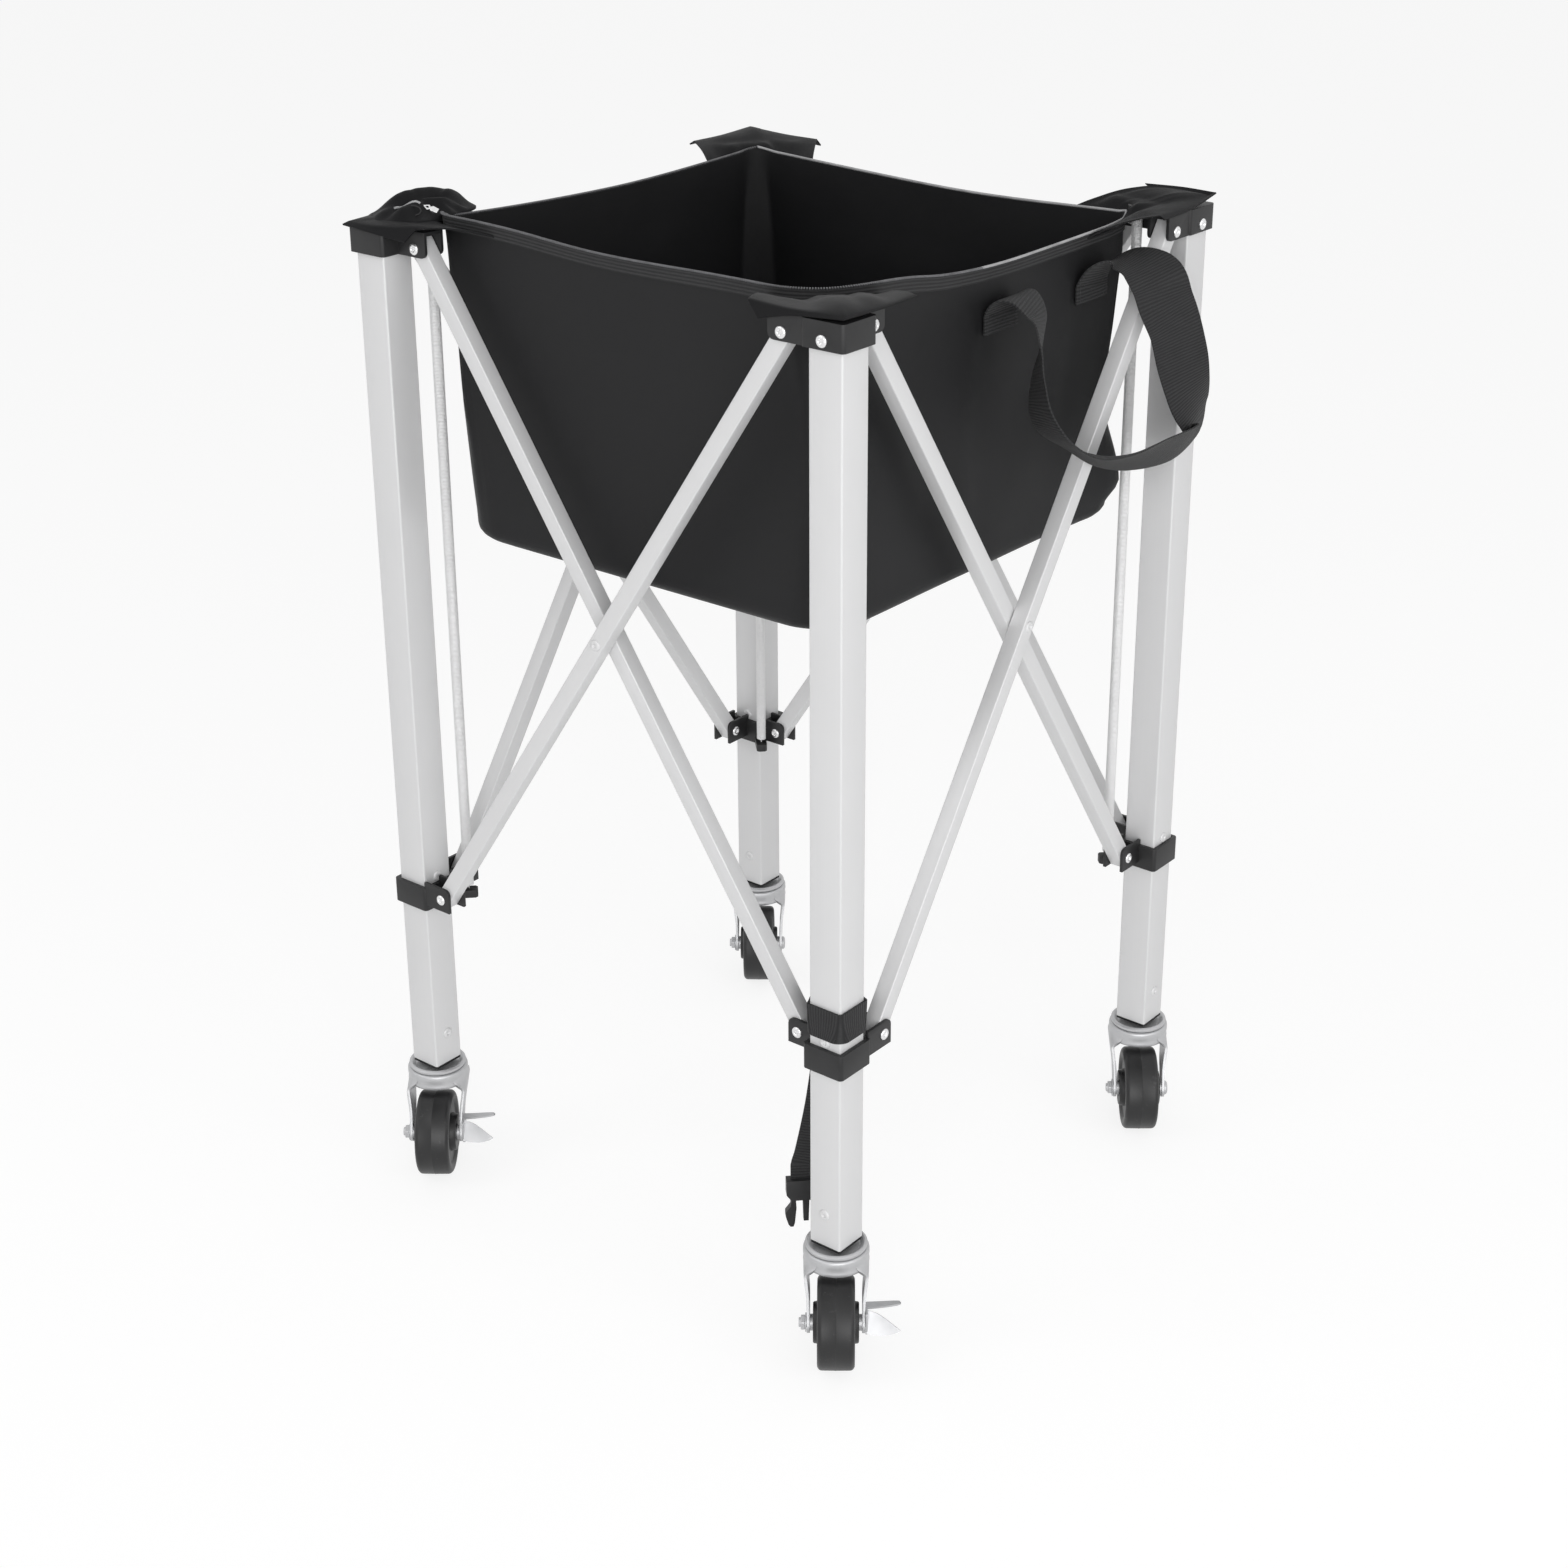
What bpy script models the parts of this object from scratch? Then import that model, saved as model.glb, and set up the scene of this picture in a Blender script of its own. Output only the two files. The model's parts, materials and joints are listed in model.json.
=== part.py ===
"""Tennis ball cart: a folding scissor frame on four casters, with a fabric ball bag.

Metres, +Z up. The origin is on the floor under the middle of the open frame.
The front leg stands at +X -Y. The other corners follow by quarter turns.
"""

import math

import bmesh
import bpy
from mathutils import Matrix, Vector

# Frame
LEG_SPACING = 0.452
LEG_SIDE = 0.030
LEG_WALL = 0.0015
LEG_EDGE = 0.0015
LEG_LENGTH = 0.7457
CLEARANCE = 0.0003

# Scissor
PIN_OFFSET = 0.037
PIN_RADIUS = 0.0025
STRUT_SIDE = 0.014
STRUT_WALL = 0.0014
STRUT_END = 0.008
STRUT_GAP = 0.001

# Moulded brackets and sliders
COLLAR_WALL = 0.0037
COLLAR_EDGE = 0.003
EAR_WALL = 0.0027
EAR_ROOT = 0.002
BRACKET_HEIGHT = 0.0205
BRACKET_ROOF = 0.003
BRACKET_PIN_DROP = 0.014
BRACKET_ARM_END = 0.012
SLIDER_ABOVE_FOOT = 0.1585
SLIDER_HEIGHT = 0.0215
SLIDER_PIN_RISE = 0.0165
SLIDER_EAR_END = 0.009
SLIDER_EAR_RISE = 0.0055
EAR_CHAMFER = 0.005
LUG_WIDTH = 0.010
LUG_HEIGHT = 0.007
RIVET_HEAD_RADIUS = 0.0045
RIVET_HEAD_HEIGHT = 0.0014
RIVET_SIDES = 8
FOOT_RIVET_UP = 0.029

# Springs
SPRING_RADIUS = 0.0042
SPRING_WIRE = 0.0012
SPRING_TURNS = 10
SPRING_POINTS = 8
SPRING_GAP = 0.0022

# Casters
HEADING = math.radians(37.8)
WHEEL_RADIUS = 0.0375
WHEEL_WIDTH = 0.030
WHEEL_EDGE = 0.0035
WHEEL_SIDES = 20
WHEEL_DISH = 0.0008
WHEEL_GAP = 0.0046
HUB_WIDTH = 0.0366
HUB_RADIUS = 0.0145
AXLE_RADIUS = 0.004
TRAIL = 0.026
STEM_RADIUS = 0.005
PLUG_FLANGE = 0.0015
PLUG_DEPTH = 0.040
HEAD_RADIUS = 0.0250
HEAD_HEIGHT = 0.0040
HEAD_SKIN = 0.0012
CUP_RADIUS = 0.0265
CUP_HEIGHT = 0.0140
CUP_WALL = 0.0025
CUP_LIP = 0.003
FORK_WALL = 0.0025
FORK_TOP_WIDTH = 0.0515
FORK_FOOT_WIDTH = 0.0465
FORK_TOP_CHORD = 0.042
FORK_FOOT_RADIUS = 0.0085
FORK_STRAIGHT = 0.015
NUT_RADIUS = 0.0065
NUT_HEIGHT = 0.004
BOLT_CAP = 0.003
PEDAL_WALL = 0.0015
PEDAL_REACH = 0.026
PEDAL_SPREAD = 0.019
PEDAL_HEIGHT = 0.0135
PEDAL_HUB = 0.0095
PRONG = 0.0025

# Bag
BAG_INSET = 0.032
BAG_RIM_DROP = 0.0005
BAG_DEPTH = 0.2585
BAG_SAG = 0.012
BAG_CORNER = 0.028
BAG_TAPER = 0.002
BAG_HEM = 0.012
FABRIC = 0.002
ZIP_WIDTH = 0.004
ZIP_HEIGHT = 0.005
FLAP_THICKNESS = 0.0016
FLAP_REACH = 0.067
LID_LENGTH = 0.064
LID_RADIUS = 0.010

# Webbing
HANDLE_WIDTH = 0.045
LEFT_HANDLE_SHIFT = 0.012
WEBBING = 0.0018
STRAP_WIDTH = 0.025
STRAP_ABOVE_SLIDER = 0.0095
STRAP_SLACK = 0.0007
STRAP_REACH = 0.0325
BUCKLE_LENGTH = 0.044
BUCKLE_WIDTH = 0.034
BUCKLE_DEPTH = 0.009
BUCKLE_ABOVE_WHEEL = 0.004

# Values that follow from the sizes above
HALF = LEG_SPACING / 2
TUBE = LEG_SIDE / 2
WHEEL_Z = WHEEL_RADIUS
CUP_FOOT = 2 * WHEEL_RADIUS + WHEEL_GAP
CUP_TOP = CUP_FOOT + CUP_HEIGHT
LEG_FOOT = CUP_TOP + HEAD_HEIGHT + PLUG_FLANGE + 3 * CLEARANCE
LEG_TOP = LEG_FOOT + LEG_LENGTH
PIN_HOLE = PIN_RADIUS + CLEARANCE
COLLAR = TUBE + CLEARANCE + COLLAR_WALL
BRACKET_TOP = LEG_TOP + CLEARANCE + BRACKET_ROOF
BRACKET_FOOT = BRACKET_TOP - BRACKET_HEIGHT
TOP_PIN_Z = BRACKET_TOP - BRACKET_PIN_DROP
SLIDER_BOTTOM = LEG_FOOT + SLIDER_ABOVE_FOOT
SLIDER_TOP = SLIDER_BOTTOM + SLIDER_HEIGHT
SLIDER_PIN_Z = SLIDER_BOTTOM + SLIDER_PIN_RISE
STOP_RIVET_Z = SLIDER_TOP + CLEARANCE + RIVET_HEAD_RADIUS
FOOT_RIVET_Z = LEG_FOOT + FOOT_RIVET_UP
SPAN = LEG_SPACING - 2 * PIN_OFFSET
DROP = TOP_PIN_Z - SLIDER_PIN_Z
STRUT_LENGTH = math.hypot(SPAN, DROP)
OPEN_ANGLE = math.atan2(SPAN, DROP)
PLANE = (STRUT_SIDE + STRUT_GAP) / 2
EAR_INSIDE = STRUT_SIDE / 2 + CLEARANCE
EAR_OUTSIDE = EAR_INSIDE + EAR_WALL
SPRING_REACH = COLLAR + SPRING_GAP + SPRING_RADIUS + SPRING_WIRE / 2
BAG_HALF = HALF - BAG_INSET
BAG_RIM_Z = BRACKET_TOP - BAG_RIM_DROP
BAG_FLOOR_Z = BAG_RIM_Z - BAG_DEPTH
STRAP_Z = SLIDER_TOP + STRAP_ABOVE_SLIDER
BUCKLE_FOOT_Z = 2 * WHEEL_RADIUS + BUCKLE_ABOVE_WHEEL

CORNERS = ("front", "right", "back", "left")
BRAKED = ("front", "left")


def clear_scene():
    for old in list(bpy.data.objects):
        bpy.data.objects.remove(old)


def material(name, colour, roughness, metallic=0.0):
    made = bpy.data.materials.new(name)
    made.use_nodes = True
    shader = made.node_tree.nodes["Principled BSDF"]
    shader.inputs["Base Color"].default_value = (*colour, 1.0)
    shader.inputs["Roughness"].default_value = roughness
    shader.inputs["Metallic"].default_value = metallic
    made.diffuse_color = (*colour, 1.0)
    return made


def empty(name, location, parent=None, turn=0.0):
    made = bpy.data.objects.new(name, None)
    bpy.context.scene.collection.objects.link(made)
    made.parent = parent
    made.location = location
    made.rotation_euler = (0, 0, turn)
    return made


def piece(name, mesh, finish, parent=None, location=(0, 0, 0), turn=(0, 0, 0), smooth=False):
    """One named object on a mesh that its copies may share."""
    made = bpy.data.objects.new(name, mesh)
    bpy.context.scene.collection.objects.link(made)
    made.parent = parent
    made.location = location
    made.rotation_euler = turn
    if not mesh.materials:
        mesh.materials.append(finish)
        if smooth:
            mesh.shade_smooth()
            mesh.set_sharp_from_angle(angle=math.radians(35))
    return made


def closed(bm, name):
    bmesh.ops.recalc_face_normals(bm, faces=bm.faces)
    mesh = bpy.data.meshes.new(name)
    bm.to_mesh(mesh)
    bm.free()
    return mesh


def loft(rings, name, caps=True):
    """A closed skin through rings of points, with a flat cap on the first and the last."""
    bm = bmesh.new()
    rows = [[bm.verts.new(p) for p in ring] for ring in rings]
    count = len(rings[0])
    pairs = zip(rows, rows[1:]) if caps else zip(rows, rows[1:] + rows[:1])
    for low, high in pairs:
        for i in range(count):
            j = (i + 1) % count
            bm.faces.new((low[i], low[j], high[j], high[i]))
    if caps:
        bm.faces.new(list(reversed(rows[0])))
        bm.faces.new(rows[-1])
    return closed(bm, name)


def prism(outline, low, high, name, place=None):
    """An outline of (u, v) points pushed from low to high. place maps u, v, w to x, y, z."""
    put = place or (lambda u, v, w: (u, v, w))
    return loft([[put(u, v, w) for u, v in outline] for w in (low, high)], name)


def turned(profile, segments, name):
    """A closed (radius, height) profile turned about Z, for rings and bored pieces."""
    rings = []
    for i in range(segments):
        angle = 2 * math.pi * i / segments
        rings.append([(r * math.cos(angle), r * math.sin(angle), z) for r, z in profile])
    return loft(rings, name, caps=False)


def disc(radius, low, high, segments, name, axis="Z"):
    """A plain round pin along an axis, with a quarter step between the axis and its first corner."""
    circle = []
    for i in range(segments):
        angle = 2 * math.pi * (i + 0.25) / segments
        circle.append((radius * math.cos(angle), radius * math.sin(angle)))
    places = {
        "X": lambda u, v, w: (w, u, v),
        "Y": lambda u, v, w: (v, w, u),
        "Z": lambda u, v, w: (u, v, w),
    }
    return prism(circle, low, high, name, places[axis])


def box(low, high, name):
    outline = [(low[0], low[1]), (high[0], low[1]), (high[0], high[1]), (low[0], high[1])]
    return prism(outline, low[2], high[2], name)


def rounded_square(half, radius, steps):
    """A square outline, turning anticlockwise, with round corners."""
    points = []
    for corner in range(4):
        start = corner * math.pi / 2
        centre = Vector((half - radius, half - radius))
        centre.rotate(Matrix.Rotation(start, 2))
        for i in range(steps + 1):
            angle = start + i * math.pi / 2 / steps
            points.append((centre.x + radius * math.cos(angle), centre.y + radius * math.sin(angle)))
    return points


def combined(base, tools, operation):
    """The base mesh with other meshes joined to it or cut from it."""
    host = bpy.data.objects.new("host", base)
    bpy.context.scene.collection.objects.link(host)
    helpers = []
    for mesh in tools:
        helper = bpy.data.objects.new("helper", mesh)
        bpy.context.scene.collection.objects.link(helper)
        helper.hide_render = True
        helper.display_type = "WIRE"
        helpers.append(helper)
        change = host.modifiers.new("change", "BOOLEAN")
        change.object = helper
        change.operation = operation
        change.solver = "EXACT"
    view = bpy.context.evaluated_depsgraph_get()
    result = bpy.data.meshes.new_from_object(host.evaluated_get(view))
    result.name = base.name
    for used in [host, *helpers]:
        bpy.data.objects.remove(used)
    return result


def union(base, tools):
    return combined(base, tools, "UNION")


def cut(base, tools):
    return combined(base, tools, "DIFFERENCE")


def moved(mesh, offset=(0, 0, 0), turn=0.0, axis="Z"):
    mesh.transform(Matrix.Translation(offset) @ Matrix.Rotation(turn, 4, axis))
    return mesh


def rivet(length_from, length_to, axis, at, name):
    """A pin along an axis with a flat round head on each end."""
    pin = disc(PIN_RADIUS, length_from, length_to, RIVET_SIDES, name, axis)
    heads = [
        disc(RIVET_HEAD_RADIUS, length_from - RIVET_HEAD_HEIGHT, length_from, RIVET_SIDES, name, axis),
        disc(RIVET_HEAD_RADIUS, length_to, length_to + RIVET_HEAD_HEIGHT, RIVET_SIDES, name, axis),
    ]
    return moved(union(pin, heads), at)


def leg_mesh():
    """A square tube with its foot rivet and the stop rivet that ends the slider's travel."""
    outer = rounded_square(TUBE, LEG_EDGE, 1)
    bore = TUBE - LEG_WALL
    hollow = box((-bore, -bore, LEG_FOOT - TUBE), (bore, bore, LEG_TOP + TUBE), "bore")
    screw_hole = moved(disc(PIN_HOLE, -2 * TUBE, 0, RIVET_SIDES, "screw_hole", "Y"), (0, 0, TOP_PIN_Z))
    tube = cut(prism(outer, LEG_FOOT, LEG_TOP, "leg"), [hollow, screw_hole])
    stop = rivet(-TUBE, TUBE, "Y", (0, 0, STOP_RIVET_Z), "stop_rivet")
    foot = rivet(-TUBE, TUBE, "Y", (0, 0, FOOT_RIVET_Z), "foot_rivet")
    return union(tube, [stop, foot])


def clevis(side, plane, end, foot, top, chamfer, name, roof=0.0):
    """Two ear plates beside a strut, with the rivet that the strut turns on.

    side is "A" for the arm along -X or "B" for the arm along +Y. plane is how far
    the strut's centre lies outside the leg's axis.
    """
    root = COLLAR - EAR_ROOT
    reach = PIN_OFFSET + end

    def place(u, v, w):
        if side == "A":
            return (-u, -w, v)
        return (w, u, v)

    outline = [
        (root, foot),
        (reach, foot),
        (reach, top - chamfer),
        (reach - chamfer, top),
        (root, top),
    ]
    if roof:
        outline = [
            (root, foot),
            (reach - chamfer, foot),
            (reach, foot + chamfer),
            (reach, top),
            (root, top),
        ]
    ears = [
        prism(outline, plane + EAR_INSIDE, plane + EAR_OUTSIDE, name, place),
        prism(outline, plane - EAR_OUTSIDE, plane - EAR_INSIDE, name, place),
    ]
    if roof:
        lid = [(root, top - roof), (reach, top - roof), (reach, top), (root, top)]
        ears.append(prism(lid, plane - EAR_OUTSIDE, plane + EAR_OUTSIDE, name, place))
    return ears


def pivot_rivet(side, plane, z, name):
    low, high = plane - EAR_OUTSIDE, plane + EAR_OUTSIDE
    if side == "A":
        return rivet(-high, -low, "Y", (-PIN_OFFSET, 0, z), name)
    return rivet(low, high, "X", (0, PIN_OFFSET, z), name)


def spring_lug(low, high, name):
    """The diagonal tab at the inner corner that a spring hooks on."""
    near = TUBE + CLEARANCE + COLLAR_WALL / 2
    far = SPRING_REACH + SPRING_RADIUS + SPRING_WIRE
    length = math.sqrt(2)
    tab = box((near * length, -LUG_WIDTH / 2, low), (far * length, LUG_WIDTH / 2, high), name)
    return moved(tab, turn=math.radians(135))


def bracket_mesh():
    """The moulded cap on a leg's top end, with its two clevises and its screw."""
    cap = prism(rounded_square(COLLAR, COLLAR_EDGE, 2), BRACKET_FOOT, BRACKET_TOP, "bracket")
    arms = clevis("A", PLANE, BRACKET_ARM_END, BRACKET_FOOT, BRACKET_TOP, EAR_CHAMFER, "arm", BRACKET_ROOF)
    arms += clevis("B", -PLANE, BRACKET_ARM_END, BRACKET_FOOT, BRACKET_TOP, EAR_CHAMFER, "arm", BRACKET_ROOF)
    arms.append(spring_lug(BRACKET_TOP - LUG_HEIGHT, BRACKET_TOP, "lug"))
    solid = union(cap, arms)
    hole = TUBE + CLEARANCE
    seat = box((-hole, -hole, BRACKET_FOOT - TUBE), (hole, hole, LEG_TOP + CLEARANCE), "seat")
    solid = cut(solid, [seat])
    screw_tip = -TUBE + LEG_WALL
    screw = union(
        disc(PIN_RADIUS, -COLLAR, screw_tip, RIVET_SIDES, "screw", "Y"),
        [disc(RIVET_HEAD_RADIUS, -COLLAR - RIVET_HEAD_HEIGHT, -COLLAR, RIVET_SIDES, "screw_head", "Y")],
    )
    moved(screw, (0, 0, TOP_PIN_Z))
    rivets = [
        pivot_rivet("A", PLANE, TOP_PIN_Z, "rivet"),
        pivot_rivet("B", -PLANE, TOP_PIN_Z, "rivet"),
    ]
    return union(solid, [screw, *rivets])


def slider_mesh():
    """The moulded ring that runs on a leg, with its two clevises."""
    ring = prism(rounded_square(COLLAR, COLLAR_EDGE, 2), SLIDER_BOTTOM, SLIDER_TOP, "slider")
    foot = SLIDER_BOTTOM + SLIDER_EAR_RISE
    top = SLIDER_TOP + SLIDER_EAR_RISE
    ears = clevis("A", -PLANE, SLIDER_EAR_END, foot, top, EAR_CHAMFER, "ear")
    ears += clevis("B", PLANE, SLIDER_EAR_END, foot, top, EAR_CHAMFER, "ear")
    ears.append(spring_lug(SLIDER_BOTTOM, SLIDER_BOTTOM + LUG_HEIGHT, "lug"))
    solid = union(ring, ears)
    hole = TUBE + CLEARANCE
    solid = cut(solid, [box((-hole, -hole, SLIDER_BOTTOM - TUBE), (hole, hole, top + TUBE), "bore")])
    rivets = [
        pivot_rivet("A", -PLANE, SLIDER_PIN_Z, "rivet"),
        pivot_rivet("B", PLANE, SLIDER_PIN_Z, "rivet"),
    ]
    return union(solid, rivets)


def strut_mesh(carries_rivet):
    """A square tube hanging from its top pin, with a hole at each pin and at the crossing."""
    half = STRUT_SIDE / 2
    bore = half - STRUT_WALL
    solid = box((-half, -half, -STRUT_LENGTH - STRUT_END), (half, half, STRUT_END), "strut")
    tools = [box((-bore, -bore, -STRUT_LENGTH - 2 * STRUT_END), (bore, bore, 2 * STRUT_END), "bore")]
    spots = [0, -STRUT_LENGTH]
    if not carries_rivet:
        spots.append(-STRUT_LENGTH / 2)
    for z in spots:
        hole = disc(PIN_HOLE, -STRUT_SIDE, STRUT_SIDE, RIVET_SIDES, "pin_hole", "Y")
        tools.append(moved(hole, (0, 0, z)))
    solid = cut(solid, tools)
    if carries_rivet:
        inner_face = half + STRUT_GAP + STRUT_SIDE + CLEARANCE
        crossing = rivet(-half, inner_face, "Y", (0, 0, -STRUT_LENGTH / 2), "crossing_rivet")
        washer = disc(RIVET_HEAD_RADIUS, half, half + STRUT_GAP - CLEARANCE, RIVET_SIDES, "washer", "Y")
        moved(washer, (0, 0, -STRUT_LENGTH / 2))
        solid = union(solid, [crossing, washer])
    return solid


def plug_mesh():
    """The square plug in a leg's foot, bored for the caster stem and the foot rivet."""
    side = TUBE - LEG_WALL - CLEARANCE
    top = LEG_FOOT + PLUG_DEPTH
    plug = box((-side, -side, LEG_FOOT - CLEARANCE), (side, side, top), "plug")
    flange_top = LEG_FOOT - CLEARANCE
    flange = prism(rounded_square(TUBE, LEG_EDGE, 1), flange_top - PLUG_FLANGE, flange_top, "flange")
    plug = union(plug, [flange])
    stem_bore = disc(STEM_RADIUS + CLEARANCE, 0, 2 * top, 10, "stem_bore")
    rivet_bore = disc(PIN_HOLE, -2 * side, 2 * side, RIVET_SIDES, "rivet_bore", "Y")
    moved(rivet_bore, (0, 0, FOOT_RIVET_Z))
    return cut(plug, [stem_bore, rivet_bore])


def head_mesh():
    """Caster stem with the fixed upper raceway, a shallow dish with a rolled rim."""
    top = LEG_FOOT - PLUG_FLANGE - 2 * CLEARANCE
    foot = top - HEAD_HEIGHT
    stem_top = FOOT_RIVET_Z - PIN_RADIUS - EAR_ROOT
    rolled = HEAD_SKIN * 2
    profile = [
        (STEM_RADIUS, stem_top),
        (STEM_RADIUS, foot + HEAD_SKIN),
        (HEAD_RADIUS - rolled * 2.5, foot + HEAD_SKIN),
        (HEAD_RADIUS - rolled, top),
        (HEAD_RADIUS - rolled * 0.3, top - HEAD_SKIN),
        (HEAD_RADIUS, foot),
        (STEM_RADIUS, foot),
        (STEM_RADIUS, CUP_TOP - CUP_WALL - EAR_ROOT),
    ]
    bm = bmesh.new()
    segments = 16
    rows = []
    for i in range(segments):
        angle = 2 * math.pi * i / segments
        rows.append([bm.verts.new((r * math.cos(angle), r * math.sin(angle), z)) for r, z in profile])
    for here, there in zip(rows, rows[1:] + rows[:1]):
        for j in range(len(profile) - 1):
            bm.faces.new((here[j], there[j], there[j + 1], here[j + 1]))
    bm.faces.new([row[0] for row in rows])
    bm.faces.new([row[-1] for row in rows])
    return closed(bm, "caster_head")


def fork_side(z):
    """Half the fork's outside width at a height: it narrows from the cup to a straight foot."""
    share = (CUP_FOOT - z) / (CUP_FOOT - WHEEL_Z - FORK_STRAIGHT)
    share = max(0.0, min(1.0, share))
    return (FORK_TOP_WIDTH + (FORK_FOOT_WIDTH - FORK_TOP_WIDTH) * share) / 2


def cheek_mesh(sign):
    """One cheek plate: as wide as the cup above, and a round ear about the axle below."""
    chord = FORK_TOP_CHORD / 2
    shoulder = CUP_FOOT - EAR_ROOT
    bend = WHEEL_Z + FORK_STRAIGHT
    share = (shoulder - bend) / (shoulder - WHEEL_Z)
    behind = -TRAIL - FORK_FOOT_RADIUS
    ahead = -TRAIL + FORK_FOOT_RADIUS
    rows = [
        (CUP_TOP - CUP_LIP, -chord, chord),
        (shoulder, -chord, chord),
        (bend, -chord + (behind + chord) * share, chord + (ahead - chord) * share),
        (WHEEL_Z, behind, ahead),
    ]
    for degrees in (30, 55, 78):
        angle = math.radians(degrees)
        reach = FORK_FOOT_RADIUS * math.cos(angle)
        rows.append((WHEEL_Z - FORK_FOOT_RADIUS * math.sin(angle), -TRAIL - reach, -TRAIL + reach))
    rings = []
    for z, low, high in rows:
        outside = sign * fork_side(z)
        inside = sign * (fork_side(z) - FORK_WALL)
        rings.append([(outside, low, z), (outside, high, z), (inside, high, z), (inside, low, z)])
    return loft(rings, "cheek")


def fork_mesh():
    """The swivel fork: a round cup under the raceway, and two cheeks down to the axle."""
    edge = CUP_LIP / 2
    cup = turned(
        [
            (STEM_RADIUS + CLEARANCE, CUP_TOP),
            (CUP_RADIUS - edge, CUP_TOP),
            (CUP_RADIUS, CUP_TOP - edge),
            (CUP_RADIUS, CUP_FOOT + CUP_LIP),
            (CUP_RADIUS - edge, CUP_FOOT),
            (CUP_RADIUS - edge - CUP_WALL, CUP_FOOT),
            (CUP_RADIUS - CUP_WALL, CUP_TOP - CUP_WALL),
            (STEM_RADIUS + CLEARANCE, CUP_TOP - CUP_WALL),
        ],
        18,
        "fork",
    )
    fork = union(cup, [cheek_mesh(1), cheek_mesh(-1)])
    bore = moved(
        disc(AXLE_RADIUS + CLEARANCE, -FORK_TOP_WIDTH, FORK_TOP_WIDTH, 10, "axle_bore", "X"),
        (0, -TRAIL, WHEEL_Z),
    )
    return cut(fork, [bore])


def wheel_mesh():
    """A solid wheel with rounded tread edges, raised hubs and a bore."""
    half = WHEEL_WIDTH / 2
    hub = HUB_WIDTH / 2
    bore = AXLE_RADIUS + CLEARANCE
    side = [
        (WHEEL_RADIUS, half - WHEEL_EDGE),
        (WHEEL_RADIUS - WHEEL_EDGE * 0.3, half - WHEEL_EDGE * 0.3),
        (WHEEL_RADIUS - WHEEL_EDGE, half),
        (HUB_RADIUS + WHEEL_DISH, half - WHEEL_DISH),
        (HUB_RADIUS, hub),
        (bore, hub),
    ]
    profile = side + [(r, -x) for r, x in reversed(side)]
    mesh = turned(profile, WHEEL_SIDES, "wheel")
    mesh.transform(Matrix.Rotation(math.pi / 2, 4, "Y"))
    return mesh


def axle_mesh(stack):
    """The axle bolt: a nut on one end, and a head that also holds what is stacked under it."""
    face = fork_side(WHEEL_Z) + CLEARANCE
    head = face + stack
    bolt = disc(AXLE_RADIUS, -face - NUT_HEIGHT / 2, head + BOLT_CAP / 2, 10, "axle", "X")
    nut = disc(NUT_RADIUS, -face - NUT_HEIGHT, -face, 6, "nut", "X")
    cap = disc(NUT_RADIUS, head, head + BOLT_CAP, 10, "bolt_head", "X")
    return union(bolt, [nut, cap])


def pedal_mesh():
    """A pressed lever that rocks on the axle: side plate, shelf and two splayed prongs."""
    inner = fork_side(WHEEL_Z) + CLEARANCE
    outer = inner + PEDAL_WALL
    plate_outline = []
    for i in range(9):
        angle = math.radians(180 + 180 * i / 8)
        plate_outline.append((PEDAL_HUB * math.cos(angle), PEDAL_HUB * math.sin(angle)))
    plate_outline += [(PEDAL_HUB, PEDAL_HEIGHT), (-PEDAL_HUB, PEDAL_HEIGHT)]
    plate = prism(plate_outline, inner, outer, "plate", lambda u, v, w: (w, u, v))
    tip = outer + PEDAL_REACH
    spread = PEDAL_SPREAD / 2
    root = outer + PEDAL_REACH / 3
    half_shelf = [
        (root, PEDAL_HUB),
        (tip - PRONG, spread + PRONG),
        (tip, spread),
        (tip - PRONG, spread - PRONG),
        (root, 0.0),
    ]
    shelf_outline = [(inner, -PEDAL_HUB), *((x, -y) for x, y in half_shelf)]
    shelf_outline += [*reversed(half_shelf[:-1]), (inner, PEDAL_HUB)]
    shelf = prism(shelf_outline, PEDAL_HEIGHT - PEDAL_WALL, PEDAL_HEIGHT, "shelf")
    pedal = union(plate, [shelf])
    return cut(pedal, [disc(AXLE_RADIUS + CLEARANCE, 0, 2 * outer, 10, "bore", "X")])


def spring_mesh(length):
    """One unbroken coil from the bracket's lug down to the slider's lug."""
    lead = 2 * SPRING_WIRE
    coil = length - 2 * lead
    centre = SPRING_RADIUS
    count = SPRING_TURNS * SPRING_POINTS
    path = [Vector((0, 0, 0)), Vector((0, 0, -lead))]
    for i in range(1, count):
        angle = 2 * math.pi * i / SPRING_POINTS
        grow = min(1.0, i / SPRING_POINTS, (count - i) / SPRING_POINTS)
        path.append(
            Vector((centre * grow * math.cos(angle), centre * grow * math.sin(angle), -lead - coil * i / count))
        )
    path.append(Vector((0, 0, -lead - coil)))
    path.append(Vector((0, 0, -length)))
    least = min(
        (path[i] - path[j]).length
        for i in range(len(path))
        for j in range(i + SPRING_POINTS // 2, len(path))
    )
    print("spring: least gap between turns", round((least - SPRING_WIRE) * 1000, 2), "mm")
    curve = bpy.data.curves.new("spring_path", "CURVE")
    curve.dimensions = "3D"
    curve.bevel_depth = SPRING_WIRE / 2
    curve.bevel_resolution = 1
    curve.use_fill_caps = True
    line = curve.splines.new("POLY")
    line.points.add(len(path) - 1)
    for point, spot in zip(line.points, path):
        point.co = (*spot, 1)
    holder = bpy.data.objects.new("spring_path", curve)
    bpy.context.scene.collection.objects.link(holder)
    view = bpy.context.evaluated_depsgraph_get()
    mesh = bpy.data.meshes.new_from_object(holder.evaluated_get(view))
    bpy.data.objects.remove(holder)
    return mesh


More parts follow.
